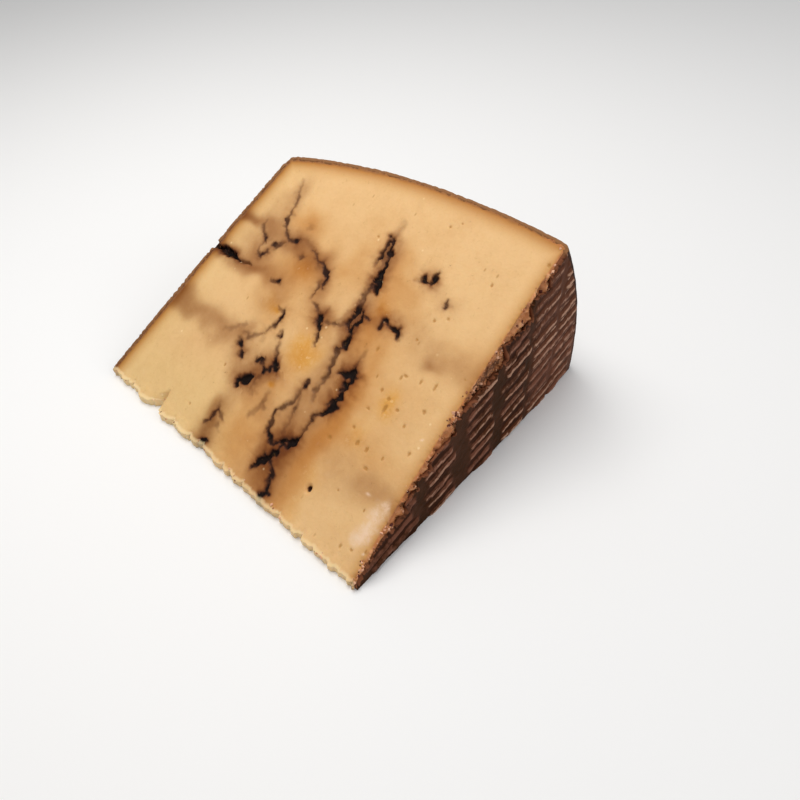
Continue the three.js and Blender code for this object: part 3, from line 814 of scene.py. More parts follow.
class PastePaint:
    """Lays the marks of the paste over each other in one material.

    The mesh's own numbers say where each mark lies, and noise breaks up its outline.
    """

    def __init__(self, graph: Graph, finish: PasteFinish):
        """Makes the patterns that the marks share.

        Args:
            graph: the material's tree.
            finish: the colours and patterns.
        """
        self.graph = graph
        self.finish = finish
        self.place = graph.node("ShaderNodeTexCoord").out("Object")
        self.broad = graph.noise(self.place, finish.broad)
        self.patchy = graph.noise(self.place, finish.patchy)
        self.grain = graph.noise(self.place, finish.grain)
        self.fine = graph.noise(self.place, finish.fine)
        self.spiky = graph.noise(self.place, finish.spiky)
        self.ink = graph.field("ink")
        self.vein = graph.field("vein") + (self.spiky - 0.5) * 0.9 + (self.fine - 0.5) * 0.3
        self.core = self.vein.ramp(0.2, -0.4) * self.ink.ramp(0.55, 1.0)
        pale = graph.field("pale") * (0.3 + self.spiky * 1.3)
        self.pale = pale + (self.grain - 0.5) * 0.9 + (self.patchy - 0.5)

    def body(self) -> Value:
        """The paste's own colour with its warm, golden and brown stains."""
        graph, finish = self.graph, self.finish
        broad, patchy, grain = self.broad - 0.5, self.patchy - 0.5, self.grain - 0.5
        green = graph.field("green") + broad * 0.5
        colour = graph.mix(green.ramp(0.1, 0.9), finish.cream, finish.green_cream)
        warm = graph.field("warm") + patchy * 0.3 + broad * 0.3
        colour = graph.dye(warm.ramp(0.0, 1.1), colour, finish.warm_tint)
        gold = graph.field("gold")
        golden = gold * (self.grain * 1.6 + 0.1)
        colour = graph.dye(golden.ramp(0.05, 0.9), colour, finish.gold_tint)
        colour = graph.mix(gold * self.grain.ramp(0.56, 0.7, 0.0, 0.6), colour, finish.speck)
        stain = graph.field("stain") + patchy * 0.25 + grain * 0.1
        colour = graph.dye(stain.ramp(-0.05, 1.15), colour, finish.stain_tint)
        mottle = grain * 0.5 + (self.fine - 0.5) * 0.4 + patchy * 0.5 + broad * 0.5
        colour = graph.dye(mottle.ramp(-0.2, 0.4, 0.0, 0.2), colour, finish.rust_tint)
        squeezed = {0: self.place, 1: finish.dash_squeeze}
        place = graph.node("ShaderNodeVectorMath", {"operation": "MULTIPLY"}, squeezed).out()
        return graph.mix(graph.dots(place, finish.dashes) * 0.55, colour, finish.pit)

    def bordered(self, colour: Value) -> Value:
        """Browns the paste towards the rind."""
        graph, finish = self.graph, self.finish
        inward = graph.field("depth")
        depth = inward + (self.patchy - 0.5) * 1.6 + (self.grain - 0.5) * 0.8
        tinted = (1 - depth / finish.edge_reach).at_least(0.0) ** finish.edge_power * 1.1
        colour = graph.dye(tinted, colour, finish.edge_tint)
        outline = graph.mix(graph.field("near"), finish.far_border, finish.near_border)
        colour = graph.mix(depth.ramp(1.0, -0.4, 0.0, 0.85), colour, outline)
        flecks = inward + (self.spiky - 0.5) * 4.0 + (self.fine - 0.5) * 1.5
        return graph.mix(flecks.ramp(0.0, -0.7, 0.0, 0.7), colour, finish.bark)

    def veined(self, colour: Value) -> Value:
        """Draws the veins: the stain round them, their brown edge and their black core."""
        graph, finish = self.graph, self.finish
        halo = graph.field("halo") + (self.patchy - 0.5) * 0.2 + (self.grain - 0.5) * 0.08
        colour = graph.dye(halo.ramp(0.0, 1.05), colour, finish.stain_tint)
        colour = graph.mix(self.vein.ramp(1.3, -0.1, 0.0, 0.8) * self.ink, colour, finish.bark)
        rim = self.vein.ramp(0.55, -0.2, 0.0, 0.9) * self.ink.ramp(0.3, 0.9)
        colour = graph.mix(rim, colour, finish.umber)
        return graph.mix(self.core, colour, finish.soot)

    def pitted(self, colour: Value) -> Value:
        """Darkens the small holes, and paints shade into the one deep hole: umber, then black at
        its middle.
        """
        graph, finish = self.graph, self.finish
        hole = graph.field("hole") + (self.spiky - 0.5) * 1.1 + (self.fine - 0.5) * 0.4
        colour = graph.mix(hole.ramp(0.05, 0.6, 0.0, 0.68), colour, finish.pit)
        # Painted shade in the deep hole.
        deep = graph.field("pit") + (self.spiky - 0.5) * 0.7
        colour = graph.mix(deep.ramp(0.3, 0.6), colour, finish.umber)
        return graph.mix(deep.ramp(0.6, 0.95), colour, finish.soot)

    def broken(self, colour: Value) -> Value:
        """Shows torn paste where rind has come off, with dark scraps of rind left on it."""
        graph, finish = self.graph, self.finish
        bare = graph.field("bare") + (self.spiky - 0.5) * 0.8
        crumbly = graph.field("loose").ramp(0.0, 0.7, 0.15, 1.0)
        speckled = self.grain.ramp(0.44, 0.6) * crumbly
        torn = graph.mix(speckled, finish.near_border, finish.flesh)
        colour = graph.mix(bare.ramp(0.2, 0.8, 0.0, 0.95), colour, torn)
        scar = graph.field("scar") + (self.spiky - 0.5) * 1.9 + (self.grain - 0.5) * 0.6
        return graph.mix(scar.ramp(0.3, 0.8, 0.0, 0.85), colour, finish.umber)

    def flecked(self, colour: Value) -> Value:
        """Adds the pale patches with their painted highlight, the painted highlight along the inner
        edge and the pale specks.
        """
        graph, finish = self.graph, self.finish
        # The pale patches carry painted glare and painted highlight spots as well as pale fat.
        colour = graph.mix(self.pale.ramp(0.15, 1.2, 0.0, 0.85), colour, finish.pale)
        # A painted highlight line along the inner edge.
        edge_highlight = graph.field("edge_highlight") + (self.spiky - 0.5) * 0.6
        colour = graph.mix(edge_highlight.ramp(0.3, 1.0, 0.0, 0.6), colour, finish.speck)
        specks = graph.dots(self.place, finish.specks) * (1 - self.core) * 0.5
        return graph.mix(specks, colour, finish.speck)

    def roughness(self) -> Value:
        """Satin, duller in the veins and a little wetter on the pale patches."""
        wet = self.pale.ramp(0.2, 0.8) * 0.15
        return 0.5 + (self.grain - 0.5) * 0.2 + self.core * 0.2 - wet

    def height(self) -> Value:
        """The fine unevenness, with the veins' cores sunk in."""
        return self.grain * 0.3 + self.fine * 0.15 + self.patchy * 0.8 - self.core * 0.5


@dataclass(frozen=True)
class RindFinish:
    """The dark rind, with paler rib crests that are partly wear and partly painted highlight,
    painted shade between the ribs and a reddish brown bloom in places.
    """

    dark: Colour = srgb(88, 48, 26)
    smooth: Colour = srgb(50, 27, 7)
    # rib is the crests' colour: partly wear, partly painted highlight
    rib: Colour = srgb(178, 138, 114)
    pink: Colour = srgb(122, 76, 58)
    # groove is painted shade in the hollows between the ribs
    groove: Colour = srgb(47, 19, 3)
    near_border: Colour = srgb(132, 80, 54)
    far_border: Colour = srgb(150, 106, 70)
    broad: Noise = Noise(45, 3, 0.55, 0.3, 11.0)
    patchy: Noise = Noise(150, 4, 0.6, 0.3, 12.0)
    grain: Noise = Noise(700, 3, 0.65, 0.0, 13.0)
    fine: Noise = Noise(2200, 2, 0.6, 0.0, 14.0)
    polish: Polish = Polish(bump=0.5, specular=0.05)

    def material(self) -> bpy.types.Material:
        """Builds the material, which reads the rind's relief and Object coordinates."""
        material = bpy.data.materials.new("cheese_rind")
        graph = Graph.of_material(material)
        place = graph.node("ShaderNodeTexCoord").out("Object")
        broad, patchy = graph.noise(place, self.broad), graph.noise(place, self.patchy)
        grain, fine = graph.noise(place, self.grain), graph.noise(place, self.fine)
        ribbed, crest, faded = graph.field("ribbed"), graph.field("crest"), graph.field("faded")

        colour = graph.mix(broad.ramp(0.3, 0.7), self.dark, self.smooth)
        colour = graph.mix((1 - ribbed) * 0.9, colour, self.smooth)
        colour = graph.mix(faded * 0.4, colour, self.pink)
        bloom = broad + (patchy - 0.5) * 0.7 + (grain - 0.5) * 0.5
        bloom = bloom.ramp(0.42, 0.7, 0.0, 0.8) * (ribbed * 0.8 + 0.2)
        colour = graph.mix(bloom, colour, self.pink)
        # Painted shade between the ribs: the groove colour where the relief is low.
        between = ribbed * (graph.field("relief") + (grain - 0.5) * 0.4).ramp(0.32, 0.0)
        colour = graph.mix(between * (0.92 - faded * 0.35), colour, self.groove)
        # The pale crests: partly wear, partly painted highlight.
        worn_and_lit = crest + (grain - 0.5) * 0.9 + (patchy - 0.5) * 0.7
        worn_and_lit = worn_and_lit.ramp(0.25, 0.75) * crest.ramp(0.0, 0.25)
        colour = graph.mix(worn_and_lit, colour, graph.mix(bloom, self.rib, self.pink))
        frayed = graph.field("edge") + (grain - 0.5) * 0.6
        border = graph.mix(graph.field("near"), self.far_border, self.near_border)
        colour = graph.mix(frayed.ramp(0.3, 0.9, 0.0, 0.9), colour, border)

        height = grain * 0.5 + fine * 0.3 + patchy * 0.9
        graph.surface(colour, 0.62 + (grain - 0.5) * 0.3, height, self.polish)
        return material


@dataclass(frozen=True)
class CrumbFinish:
    """Loose crumbs along the broken edges: some of pale paste, some of dark rind."""

    pale: Colour = srgb(224, 174, 142)
    tan: Colour = srgb(186, 124, 86)
    dark: Colour = srgb(86, 44, 36)
    grain: Noise = Noise(1200, 3, 0.6, 0.0, 41.0)
    polish: Polish = Polish(bump=0.4, bump_depth=0.0003)

    def material(self) -> bpy.types.Material:
        """Builds the material, which reads each crumb's own tone."""
        material = bpy.data.materials.new("cheese_crumb")
        graph = Graph.of_material(material)
        grain = graph.noise(graph.node("ShaderNodeTexCoord").out("Object"), self.grain)
        tone = graph.field("tone") + (grain - 0.5) * 0.3
        colour = graph.mix(tone.ramp(0.1, 0.35), self.dark, self.tan)
        colour = graph.mix(tone.ramp(0.35, 0.75), colour, self.pale)
        graph.surface(colour, 0.6 + (grain - 0.5) * 0.3, grain, self.polish)
        return material


# ------------------------------------------------------------------ meshes


class Sheet:
    """Collects the vertices and faces of one closed piece, in millimetres."""

    def __init__(self) -> None:
        """Starts empty."""
        self.points: list[Array] = []
        self.faces: list[Array] = []
        self.count = 0

    def add_points(self, points: Array) -> Array:
        """Adds points of any array shape.

        Args:
            points: the last axis is x, y, z.

        Returns:
            Their numbers, in the same shape without the last axis.
        """
        flat = points.reshape(-1, 3)
        numbers = np.arange(self.count, self.count + len(flat)).reshape(points.shape[:-1])
        self.points.append(flat)
        self.count += len(flat)
        return numbers

    def add_grid(self, numbers: Array, flip: bool = False) -> None:
        """Adds the quads of a grid of points; they face along the first axis times the second."""
        first = numbers[:-1, :-1].ravel()
        second = numbers[1:, :-1].ravel()
        third = numbers[1:, 1:].ravel()
        fourth = numbers[:-1, 1:].ravel()
        order = (first, fourth, third, second) if flip else (first, second, third, fourth)
        self.faces.append(np.stack(order, axis=1))

    def add_band(self, upper: Array, lower: Array) -> None:
        """Joins two closed loops of as many points, the upper one counted anticlockwise."""
        order = (upper, lower, np.roll(lower, -1), np.roll(upper, -1))
        self.faces.append(np.stack(order, axis=1))

    def add_bridge(self, fine: Array, coarse: Array, ratio: int) -> None:
        """Joins a closed loop to one with fewer points.

        Args:
            fine: the upper loop.
            coarse: the lower loop, one point for each ratio of the upper one.
            ratio: how many points of the fine loop go with one of the coarse one.
        """
        after = np.roll(coarse, -1)
        half = ratio // 2
        fans = []
        for step in range(ratio):
            start = fine[step::ratio]
            end = np.roll(fine, -1)[step::ratio]
            hub = coarse if step < half else after
            fans.append(np.stack([start, hub, end], axis=1))
        middle = fine[half::ratio]
        fans.append(np.stack([middle, coarse, after], axis=1))
        self.faces.extend(fans)

    def build(self, name: str, place: Place) -> bpy.types.Mesh:
        """Makes the mesh.

        Args:
            name: the mesh's name.
            place: where the wedge stands in the frame.

        Returns:
            A new mesh in metres.
        """
        points = place.to_metres(np.concatenate(self.points))
        faces = [row for block in self.faces for row in block.tolist()]
        mesh = bpy.data.meshes.new(name)
        mesh.from_pydata(points.tolist(), [], faces)
        mesh.polygons.foreach_set("use_smooth", np.ones(len(faces), bool))
        return mesh


def rim_loop(numbers: Array) -> Array:
    """The border of a grid of points as one closed loop, anticlockwise seen from outside."""
    return np.concatenate([
        numbers[:-1, 0], numbers[-1, :-1], numbers[:0:-1, -1], numbers[0, :0:-1]
    ])


def store(mesh: bpy.types.Mesh, name: str, values: Array) -> None:
    """Keeps one number, or one vector, for each vertex under a name."""
    is_vector = values.ndim == 2
    kind = "FLOAT_VECTOR" if is_vector else "FLOAT"
    layer = mesh.attributes.new(name, kind, "POINT")
    field = "vector" if is_vector else "value"
    layer.data.foreach_set(field, np.ascontiguousarray(values, np.float32).ravel())


def arc_steps(round_share: float, steps: int, count: int) -> Array:
    """Places from 0 to 1 with a few close ones for a rounded edge at each end.

    Args:
        round_share: the share of the whole that each rounding takes.
        steps: how many places each rounding gets.
        count: how many even steps lie between.

    Returns:
        The places in order.
    """
    turn = np.linspace(0, np.pi / 2, steps + 1)[:-1]
    start = round_share * (1 - np.cos(turn))
    middle = np.linspace(round_share, 1 - round_share, count + 1)
    return np.concatenate([start, middle, 1 - start[::-1]])


@dataclass(frozen=True)
class Twigs:
    """The small side branches that grow from the veins, drawn at random."""

    per_millimetre: float = 0.16
    shortest: float = 0.6
    longest: float = 2.4
    half_width: float = 0.2
    steps: int = 3
    turn_off: tuple[float, float] = (0.5, 1.6)  # from the vein's heading, in radians
    bend: float = 0.5  # the spread of a branch's own turns
    depth: float = 0.05
    ink: float = 0.45

    def grow(self, veins: tuple[Vein, ...]) -> list[Vein]:
        """Draws the branches.

        Args:
            veins: the veins that they grow from.

        Returns:
            The branches alone.
        """
        dice = np.random.default_rng(Seed.TWIGS)
        grown = []
        for vein in veins:
            for start, end in zip(vein.points, vein.points[1:]):
                run = np.array(end[:2]) - np.array(start[:2])
                for _ in range(dice.poisson(math.hypot(*run) * self.per_millimetre)):
                    root = np.array(start[:2]) + dice.random() * run
                    side = dice.choice((-1, 1)) * dice.uniform(*self.turn_off)
                    grown.append(self.twig(dice, root, math.atan2(run[1], run[0]) + side))
        return grown

    def twig(self, dice: np.random.Generator, root: Array, heading: float) -> Vein:
        """Draws one branch from its root, narrowing to its end."""
        stride = dice.uniform(self.shortest, self.longest) / self.steps
        points = [(root[0], root[1], self.half_width)]
        for step in range(1, self.steps + 1):
            heading += dice.normal(0, self.bend)
            root = root + stride * np.array([math.cos(heading), math.sin(heading)])
            points.append((root[0], root[1], self.half_width * (1 - step / (self.steps + 0.5))))
        return Vein(tuple(points), self.depth, self.ink)


class Fields:
    """What the paste shows at each point, worked out from the veins, holes and patches."""

    PATCH_WANDER = (0.8, 13.0)  # how far the patches' outlines stray, and the waves' length
    VEIN_WANDER = ((0.3, 4.5), (0.12, 1.7))  # the same for the veins, in coarse and fine waves
    VEIN_SWELL = (0.95, 0.25, 3.6)  # middle and spread of their widening, and its waves' length
    FAR = 50.0  # more than any distance that counts
    HOLE_BLUR = 1.3  # how far a hole's soft edge reaches, as a share of its radius

    def __init__(self, slope: Array, y: Array):
        """Takes the points' distance up the slope and place along the axis."""
        self.slope = slope
        self.y = y

    def waves(self, length: float, seed: Seed) -> Array:
        """A random field's value at each point."""
        return Ripples(length, seed).at(self.slope, self.y)

    def patches(self, patches: tuple[Patch, ...]) -> Array:
        """Lays soft patches over each other, to 1 at most."""
        reach, length = self.PATCH_WANDER
        slope = self.slope + reach * self.waves(length, Seed.PATCH_UP)
        y = self.y + reach * self.waves(length, Seed.PATCH_ALONG)
        clear = np.ones_like(self.slope)
        for patch in patches:
            up = (slope - patch.slope) / patch.slope_radius
            along = (y - patch.y) / patch.y_radius
            clear *= 1 - patch.strength * np.exp(-0.9 * (up**2 + along**2))
        return 1 - clear

    def strayed(self) -> tuple[Array, Array, Array]:
        """The points' places after the veins' wandering, and the veins' widening there."""
        slope, y = self.slope, self.y
        seeds = ((Seed.VEIN_UP, Seed.VEIN_ALONG), (Seed.VEIN_UP_FINE, Seed.VEIN_ALONG_FINE))
        for (reach, length), (up, along) in zip(self.VEIN_WANDER, seeds):
            slope = slope + reach * self.waves(length, up)
            y = y + reach * self.waves(length, along)
        middle, spread, length = self.VEIN_SWELL
        swell = middle + spread * self.waves(length, Seed.VEIN_WIDTH)
        return slope, y, np.clip(swell, 0.3, 2.0)

    def veins(self) -> dict[str, Array]:
        """Works out what the veins do to each point.

        Returns:
            vein, the distance from the nearest vein's edge, less than 0 inside it; ink, how black
            that vein is; halo, the strength of the stain round the veins; and groove, the depth
            of the crack there.
        """
        place = self.strayed()
        nearest = np.full_like(self.slope, 12.0)
        ink = np.zeros_like(self.slope)
        clear = np.ones_like(self.slope)
        groove = np.zeros_like(self.slope)
        for vein in [*VEINS, *Twigs().grow(VEINS)]:
            distance = np.full_like(self.slope, self.FAR)
            width = np.zeros_like(self.slope)
            for start, end in zip(vein.points, vein.points[1:]):
                gap, half_width = self.to_stretch(place, start, end)
                width = np.where(gap < distance, half_width, width)
                distance = np.minimum(distance, gap)
            local_ink = vein.ink * np.clip(0.3 + width, 0, 1)
            ink = np.where(distance < nearest, local_ink, ink)
            nearest = np.minimum(nearest, distance)
            reach = 1.2 + 1.9 * np.minimum(width, 1.2)
            strength = vein.ink * np.clip(0.12 + 0.5 * width, 0, 0.7)
            clear *= 1 - strength * np.exp(-((np.maximum(distance, 0) / reach) ** 1.3))
            groove = np.maximum(groove, vein.depth * np.clip(0.5 - distance / 1.1, 0, 1))
        return {"vein": nearest, "ink": ink, "halo": 1 - clear, "groove": groove}

    @staticmethod
    def to_stretch(place: tuple, start: tuple, end: tuple) -> tuple[Array, Array]:
        """Distance to the edge of one straight stretch of a vein, and its half width there.

        Args:
            place: the points' distance up the slope, place along the axis and widening.
            start: the stretch's first point, as in a Vein.
            end: its last one.

        Returns:
            The distance, less than 0 inside, and the half width before it is widened.
        """
        slope, y, swell = place
        run = np.array(end[:2]) - np.array(start[:2])
        share = (slope - start[0]) * run[0] + (y - start[1]) * run[1]
        share = np.clip(share / max(run @ run, 1e-9), 0, 1)
        gap = np.hypot(slope - start[0] - share * run[0], y - start[1] - share * run[1])
        half_width = start[2] + share * (end[2] - start[2])
        return gap - half_width * swell, half_width

    def inside(self, hole: tuple) -> Array:
        """How far inside one hole a point is: 0 outside to 1 at its middle."""
        slope, y, half_length, half_width = hole
        up = (self.slope - slope) / (half_length * self.HOLE_BLUR)
        along = (self.y - y) / (half_width * self.HOLE_BLUR)
        return np.clip(1.2 - np.hypot(up, along), 0, 1.2) / 1.2

    def holes(self) -> tuple[Array, Array]:
        """How far inside a small hole a point is, from 0 to 1, and the hole's depth."""
        inside = np.zeros_like(self.slope)
        depth = np.zeros_like(self.slope)
        for hole in HOLES:
            share = self.inside(hole)
            inside = np.maximum(inside, share)
            depth = np.maximum(depth, min(hole[2:]) * 0.9 * share)
        return inside, depth


# ------------------------------------------------------------------ geometry node trees


class Relief:
    """A geometry node tree with named inputs that is run once on a mesh."""

    def __init__(self, name: str):
        """Starts a tree with a geometry input and output."""
        self.tree = bpy.data.node_groups.new(name, "GeometryNodeTree")
        self.graph = Graph(self.tree)
        face = self.tree.interface
        face.new_socket("Geometry", in_out="INPUT", socket_type="NodeSocketGeometry")
        face.new_socket("Geometry", in_out="OUTPUT", socket_type="NodeSocketGeometry")
        self.entry = self.graph.node("NodeGroupInput")
        self.sizes: dict[str, float] = {}

    def size(self, name: str, value: float) -> Value:
        """Adds a named number to the tree's inputs.

        Args:
            name: what it is.
            value: what it is set to when the tree is run.

        Returns:
            The input as a value.
        """
        face = self.tree.interface
        socket = face.new_socket(name, in_out="INPUT", socket_type="NodeSocketFloat")
        self.sizes[socket.identifier] = value
        return self.entry.out(name)

    def geometry(self) -> Value:
        """The mesh that comes in."""
        return self.entry.out("Geometry")

    def place(self) -> Value:
        """Each point's place."""
        return self.graph.node("GeometryNodeInputPosition").out()

    def field(self, name: str) -> Value:
        """One of the mesh's own numbers."""
        return self.graph.node("GeometryNodeInputNamedAttribute", {}, {0: name}).out()

    def direction(self, name: str) -> Value:
        """One of the mesh's own vectors."""
        settings = {"data_type": "FLOAT_VECTOR"}
        return self.graph.node("GeometryNodeInputNamedAttribute", settings, {0: name}).out()

    def noise(self, pattern: Noise) -> Value:
        """A noise pattern, read at each point's place."""
        return self.graph.noise(self.place(), pattern)

    def combined(self, x: Number, y: Number, z: Number) -> Value:
        """A vector of three numbers."""
        return self.graph.node("ShaderNodeCombineXYZ", {}, {0: x, 1: y, 2: z}).out()

    def added(self, first: Value, second: Value) -> Value:
        """Two vectors' sum."""
        settings = {"operation": "ADD"}
        return self.graph.node("ShaderNodeVectorMath", settings, {0: first, 1: second}).out()

    def scaled(self, vector: Value, length: Number) -> Value:
        """A vector times a number."""
        settings = {"operation": "SCALE"}
        values = {0: vector, "Scale": length}
        return self.graph.node("ShaderNodeVectorMath", settings, values).out()

    def moved(self, geometry: Value, offset: Value) -> Value:
        """Moves each point by its offset, but never below the floor."""
        lowest = {0: self.added(self.place(), offset), 1: (-1.0, -1.0, 0.0)}
        held = self.graph.node("ShaderNodeVectorMath", {"operation": "MAXIMUM"}, lowest)
        values = {"Geometry": geometry, "Position": held}
        return self.graph.node("GeometryNodeSetPosition", {}, values).out()

    def keep(self, name: str, value: Value, geometry: Value, domain: str = "POINT") -> Value:
        """Stores a number on the geometry under a name, for the finish to read.

        Args:
            name: the name.
            value: the number.
            geometry: what it is stored on.
            domain: POINT or INSTANCE.

        Returns:
            The geometry with it.
        """
        settings = {"data_type": "FLOAT", "domain": domain}
        values = {"Geometry": geometry, "Name": name, "Value": value}
        return self.graph.node("GeometryNodeStoreNamedAttribute", settings, values).out()

    def random_number(self, seed: int) -> Value:
        """A random number from 0 to 1 for each point."""
        settings = {"data_type": "FLOAT"}
        return self.graph.node("FunctionNodeRandomValue", settings, {"Seed": seed}).out(1)

    def random_vector(self, low: tuple, high: tuple, seed: int) -> Value:
        """A random vector between two others for each point."""
        settings = {"data_type": "FLOAT_VECTOR"}
        values = {0: low, 1: high, "Seed": seed}
        return self.graph.node("FunctionNodeRandomValue", settings, values).out(0)

    def chance(self, place: Value, other: Number) -> Value:
        """A repeatable random number from 0 to 1 for each pair of whole numbers."""
        values = {"Vector": self.combined(place, other, 0.37)}
        settings = {"noise_dimensions": "3D"}
        return self.graph.node("ShaderNodeTexWhiteNoise", settings, values).out("Value")

    def run(
        self, mesh: bpy.types.Mesh, geometry: Value, material: bpy.types.Material
    ) -> bpy.types.Object:
        """Ends the tree, runs it on the mesh and keeps the result as a plain object.

        Args:
            mesh: the mesh to start from.
            geometry: what the tree has made of it.
            material: the finish of the result.

        Returns:
            A new object at the origin with a plain mesh.
        """
        real = self.graph.node("GeometryNodeRealizeInstances", {}, {0: geometry})
        values = {"Geometry": real, "Material": material}
        dressed = self.graph.node("GeometryNodeSetMaterial", {}, values)
        self.graph.node("NodeGroupOutput", {}, {0: dressed})
        source = bpy.data.objects.new(mesh.name + "_source", mesh)
        bpy.context.scene.collection.objects.link(source)
        modifier = source.modifiers.new("relief", "NODES")
        modifier.node_group = self.tree
        for identifier, value in self.sizes.items():
            modifier[identifier] = value
        bpy.context.view_layer.update()
        evaluated = source.evaluated_get(bpy.context.evaluated_depsgraph_get())
        result = bpy.data.meshes.new_from_object(evaluated)
        result.name = mesh.name
        source.modifiers.clear()
        bpy.data.objects.remove(source)
        bpy.data.node_groups.remove(self.tree)
        piece = bpy.data.objects.new(mesh.name, result)
        bpy.context.scene.collection.objects.link(piece)
        return piece


# ------------------------------------------------------------------ the pieces


@dataclass
class Paste:
    """The cut body of the wedge inside its rind."""

    place: Place
    finish: PasteFinish = PasteFinish()
    inset: float = 0.6  # below the rind's outer surface
    slope_cells: int = 264
    axis_cells: int = 280
    scar_rows: int = 14  # close rows of the side wall, below the cut edge
    scar_step: float = 0.5
    hidden_rows: int = 4  # wide rows below them, behind the rind
    ratio: int = 4  # cells of the upper cut face for each of the lower one
    base_inset: float = 0.05  # of the lower face's grid from its outline, as a share of it
    tip_gathering: float = 1.15  # how much closer the cells lie at the inner edge
    flank_depth: float = 3.0  # how far in from the rind the side wall may show
    bare_margin: float = 0.4  # how far below a flake's drop the paste is still bare
    side_reach: float = 8.0  # how far in the near side's border colour holds
    scar: Spot = (0.14, 0.6, 8.0)  # everywhere, more at the dark scar, its reach
    crumb_heap: float = 1.4  # half the length of each place where crumbs gather
    crumb_lowest: float = 1.9  # the least height of a crumb above the lower cut
    crumb_drop: float = 6.6  # and its largest drop below the cut edge
    tip_crumbs: float = 0.12
    tooth_steps: tuple[float, float] = (0.2, 2.8)
    tooth_flanks: tuple[float, float] = (0.15, 0.5)
    tooth_slant: float = 0.3
    tooth_run: float = 2.0  # how far up the slope a tooth's push fades out
    tooth_unevenness: float = 1.3
    crumble_depth: float = 1.5
    swell: float = 0.22
    jagged: Noise = Noise(560, 3, 0.7, 0.0, 21.0)
    rough: Noise = Noise(380, 4, 0.65, 0.0, 22.0)
    broad: Noise = Noise(60, 2, 0.5, 0.0, 23.0)
    # Chips in the inner edge: place along the axis, length before it and beyond it, and depth,
    # which is less than 0 for a tooth that stands out.
    chips: tuple[tuple[float, float, float, float], ...] = (
        (96.8, 0.6, 6.0, 4.6), (93.6, 3.0, 2.4, -1.1), (106.5, 4.0, 4.0, -0.9),
        (88.0, 0.5, 1.8, 1.6), (113.6, 0.4, 1.4, 1.5), (116.2, 0.5, 1.8, 1.1),
        (71.8, 0.4, 1.6, 1.2), (60.2, 0.4, 1.4, 1.2), (50.4, 0.4, 1.4, 1.1),
        (78.0, 0.4, 1.2, 1.1), (33.0, 0.6, 2.0, 1.0), (22.5, 0.5, 1.3, 0.8),
    )

    def sheet(self) -> tuple[Sheet, dict[str, Array]]:
        """Lays out the closed surface.

        Returns:
            The sheet and the named values of its vertices.
        """
        sheet = Sheet()
        slope_places = np.linspace(0, 1, self.slope_cells + 1) ** self.tip_gathering
        out = slope_places[:, None]
        across = np.linspace(0, 1, self.axis_cells + 1)[None, :]
        top = sheet.add_points(self.behind_flakes(FORM.point(out, across, 1.0, self.inset)))
        sheet.add_grid(top)
        out_loop = rim_loop(np.broadcast_to(out, top.shape))
        across_loop = rim_loop(np.broadcast_to(across, top.shape))
        upper = rim_loop(top)
        for up in self.wall_levels(FORM.point(out_loop, across_loop, 1.0, self.inset)[:, 2]):
            points = FORM.point(out_loop, across_loop, up, self.inset)
            lower = sheet.add_points(self.behind_flakes(points))
            sheet.add_band(upper, lower)
            upper = lower
        share = 1 - 2 * self.base_inset
        out = self.base_inset + share * slope_places[:: self.ratio, None]
        across = self.base_inset + share * across[:, :: self.ratio]
        base = sheet.add_points(FORM.point(out, across, 0.0, self.inset))
        sheet.add_grid(base, flip=True)
        sheet.add_bridge(upper, rim_loop(base), self.ratio)
        return sheet, self.values(sheet, top.size, base.size)

    def wall_levels(self, height: Array) -> list[Array]:
        """The rows of the paste's side wall: close below the cut edge, wide behind the rind.

        Args:
            height: the height of the cut edge at each place round it.

        Returns:
            For each row its place from 1, at the cut edge, to 0 at the lower cut face.
        """
        scar = np.arange(1, self.scar_rows + 1) * self.scar_step
        shares = [FORM.share_of_arc(drop, np.maximum(height, scar[-1] * 1.4)) for drop in scar]
        for step in range(1, self.hidden_rows + 1):
            shares.append(shares[self.scar_rows - 1] * (1 - step / self.hidden_rows)
                          + step / self.hidden_rows)
        return [1 - share for share in shares]

    def behind_flakes(self, points: Array) -> Array:
        """Moves the points near the broken edge in behind its flakes."""
        x, y, z = np.moveaxis(points, -1, 0)
        below = FORM.tip_near + x * math.tan(FORM.cut_angle) - z
        radius = np.hypot(x, z)
        near = FORM.near_side(radius) + FORM.lean(x, z) + self.inset
        moved = points.copy()
        fade = np.exp(-np.maximum(y - near, 0) / 3.0)
        moved[..., 1] += EDGE.bevel(x, np.maximum(below, 0)) * fade
        return moved

    def values(self, sheet: Sheet, top_count: int, base_count: int) -> dict[str, Array]:
        """Works out what every vertex shows.

        Args:
            sheet: the laid out surface.
            top_count: how many of its first points are the upper cut face.
            base_count: how many of its last points are the middle of the lower cut face.

        Returns:
            The values by name.
        """
        points = np.concatenate(sheet.points)
        x, y, z = points.T
        number = np.arange(len(points))
        is_top = number < top_count
        is_base = number >= len(points) - base_count
        slope = np.where(is_base, FORM.radius - 4 - x, x / math.cos(FORM.cut_angle))
        fields = Fields(slope, np.where(is_base, FORM.thickness - y, y))
        veins = fields.veins()
        hole, hole_depth = fields.holes()
        pit = fields.inside(PIT)
        radius = np.hypot(x, z)
        near = y - (FORM.near_side(radius) + FORM.lean(x, z))
        far = FORM.far_side(radius) - y
        rim = FORM.rim_radius(y) - radius
        green = np.exp(-((np.maximum(slope, 0) / 22) ** 2)) * np.clip((y - 45) / 40, 0, 1)
        below = FORM.tip_near + x * math.tan(FORM.cut_angle) - z
        is_side = near < self.flank_depth
        is_flank = ~(is_top | is_base) & is_side
        is_bare = (below < EDGE.flaked(x) + self.bare_margin) & is_side | is_flank
        inward = np.zeros((len(points), 3))
        inward[is_top] = (math.sin(FORM.cut_angle), 0.0, -math.cos(FORM.cut_angle))
        inward[is_base] = (0.0, 0.0, 1.0)
        inward[is_flank] = (0.0, 1.0, 0.0)
        border = np.minimum(np.minimum(near * 0.8, far * 1.6), rim * 1.6) - self.inset
        scar, dark, reach = self.scar
        scar = scar + dark * np.exp(-(((x - EDGE.dark_scar) / reach) ** 2))
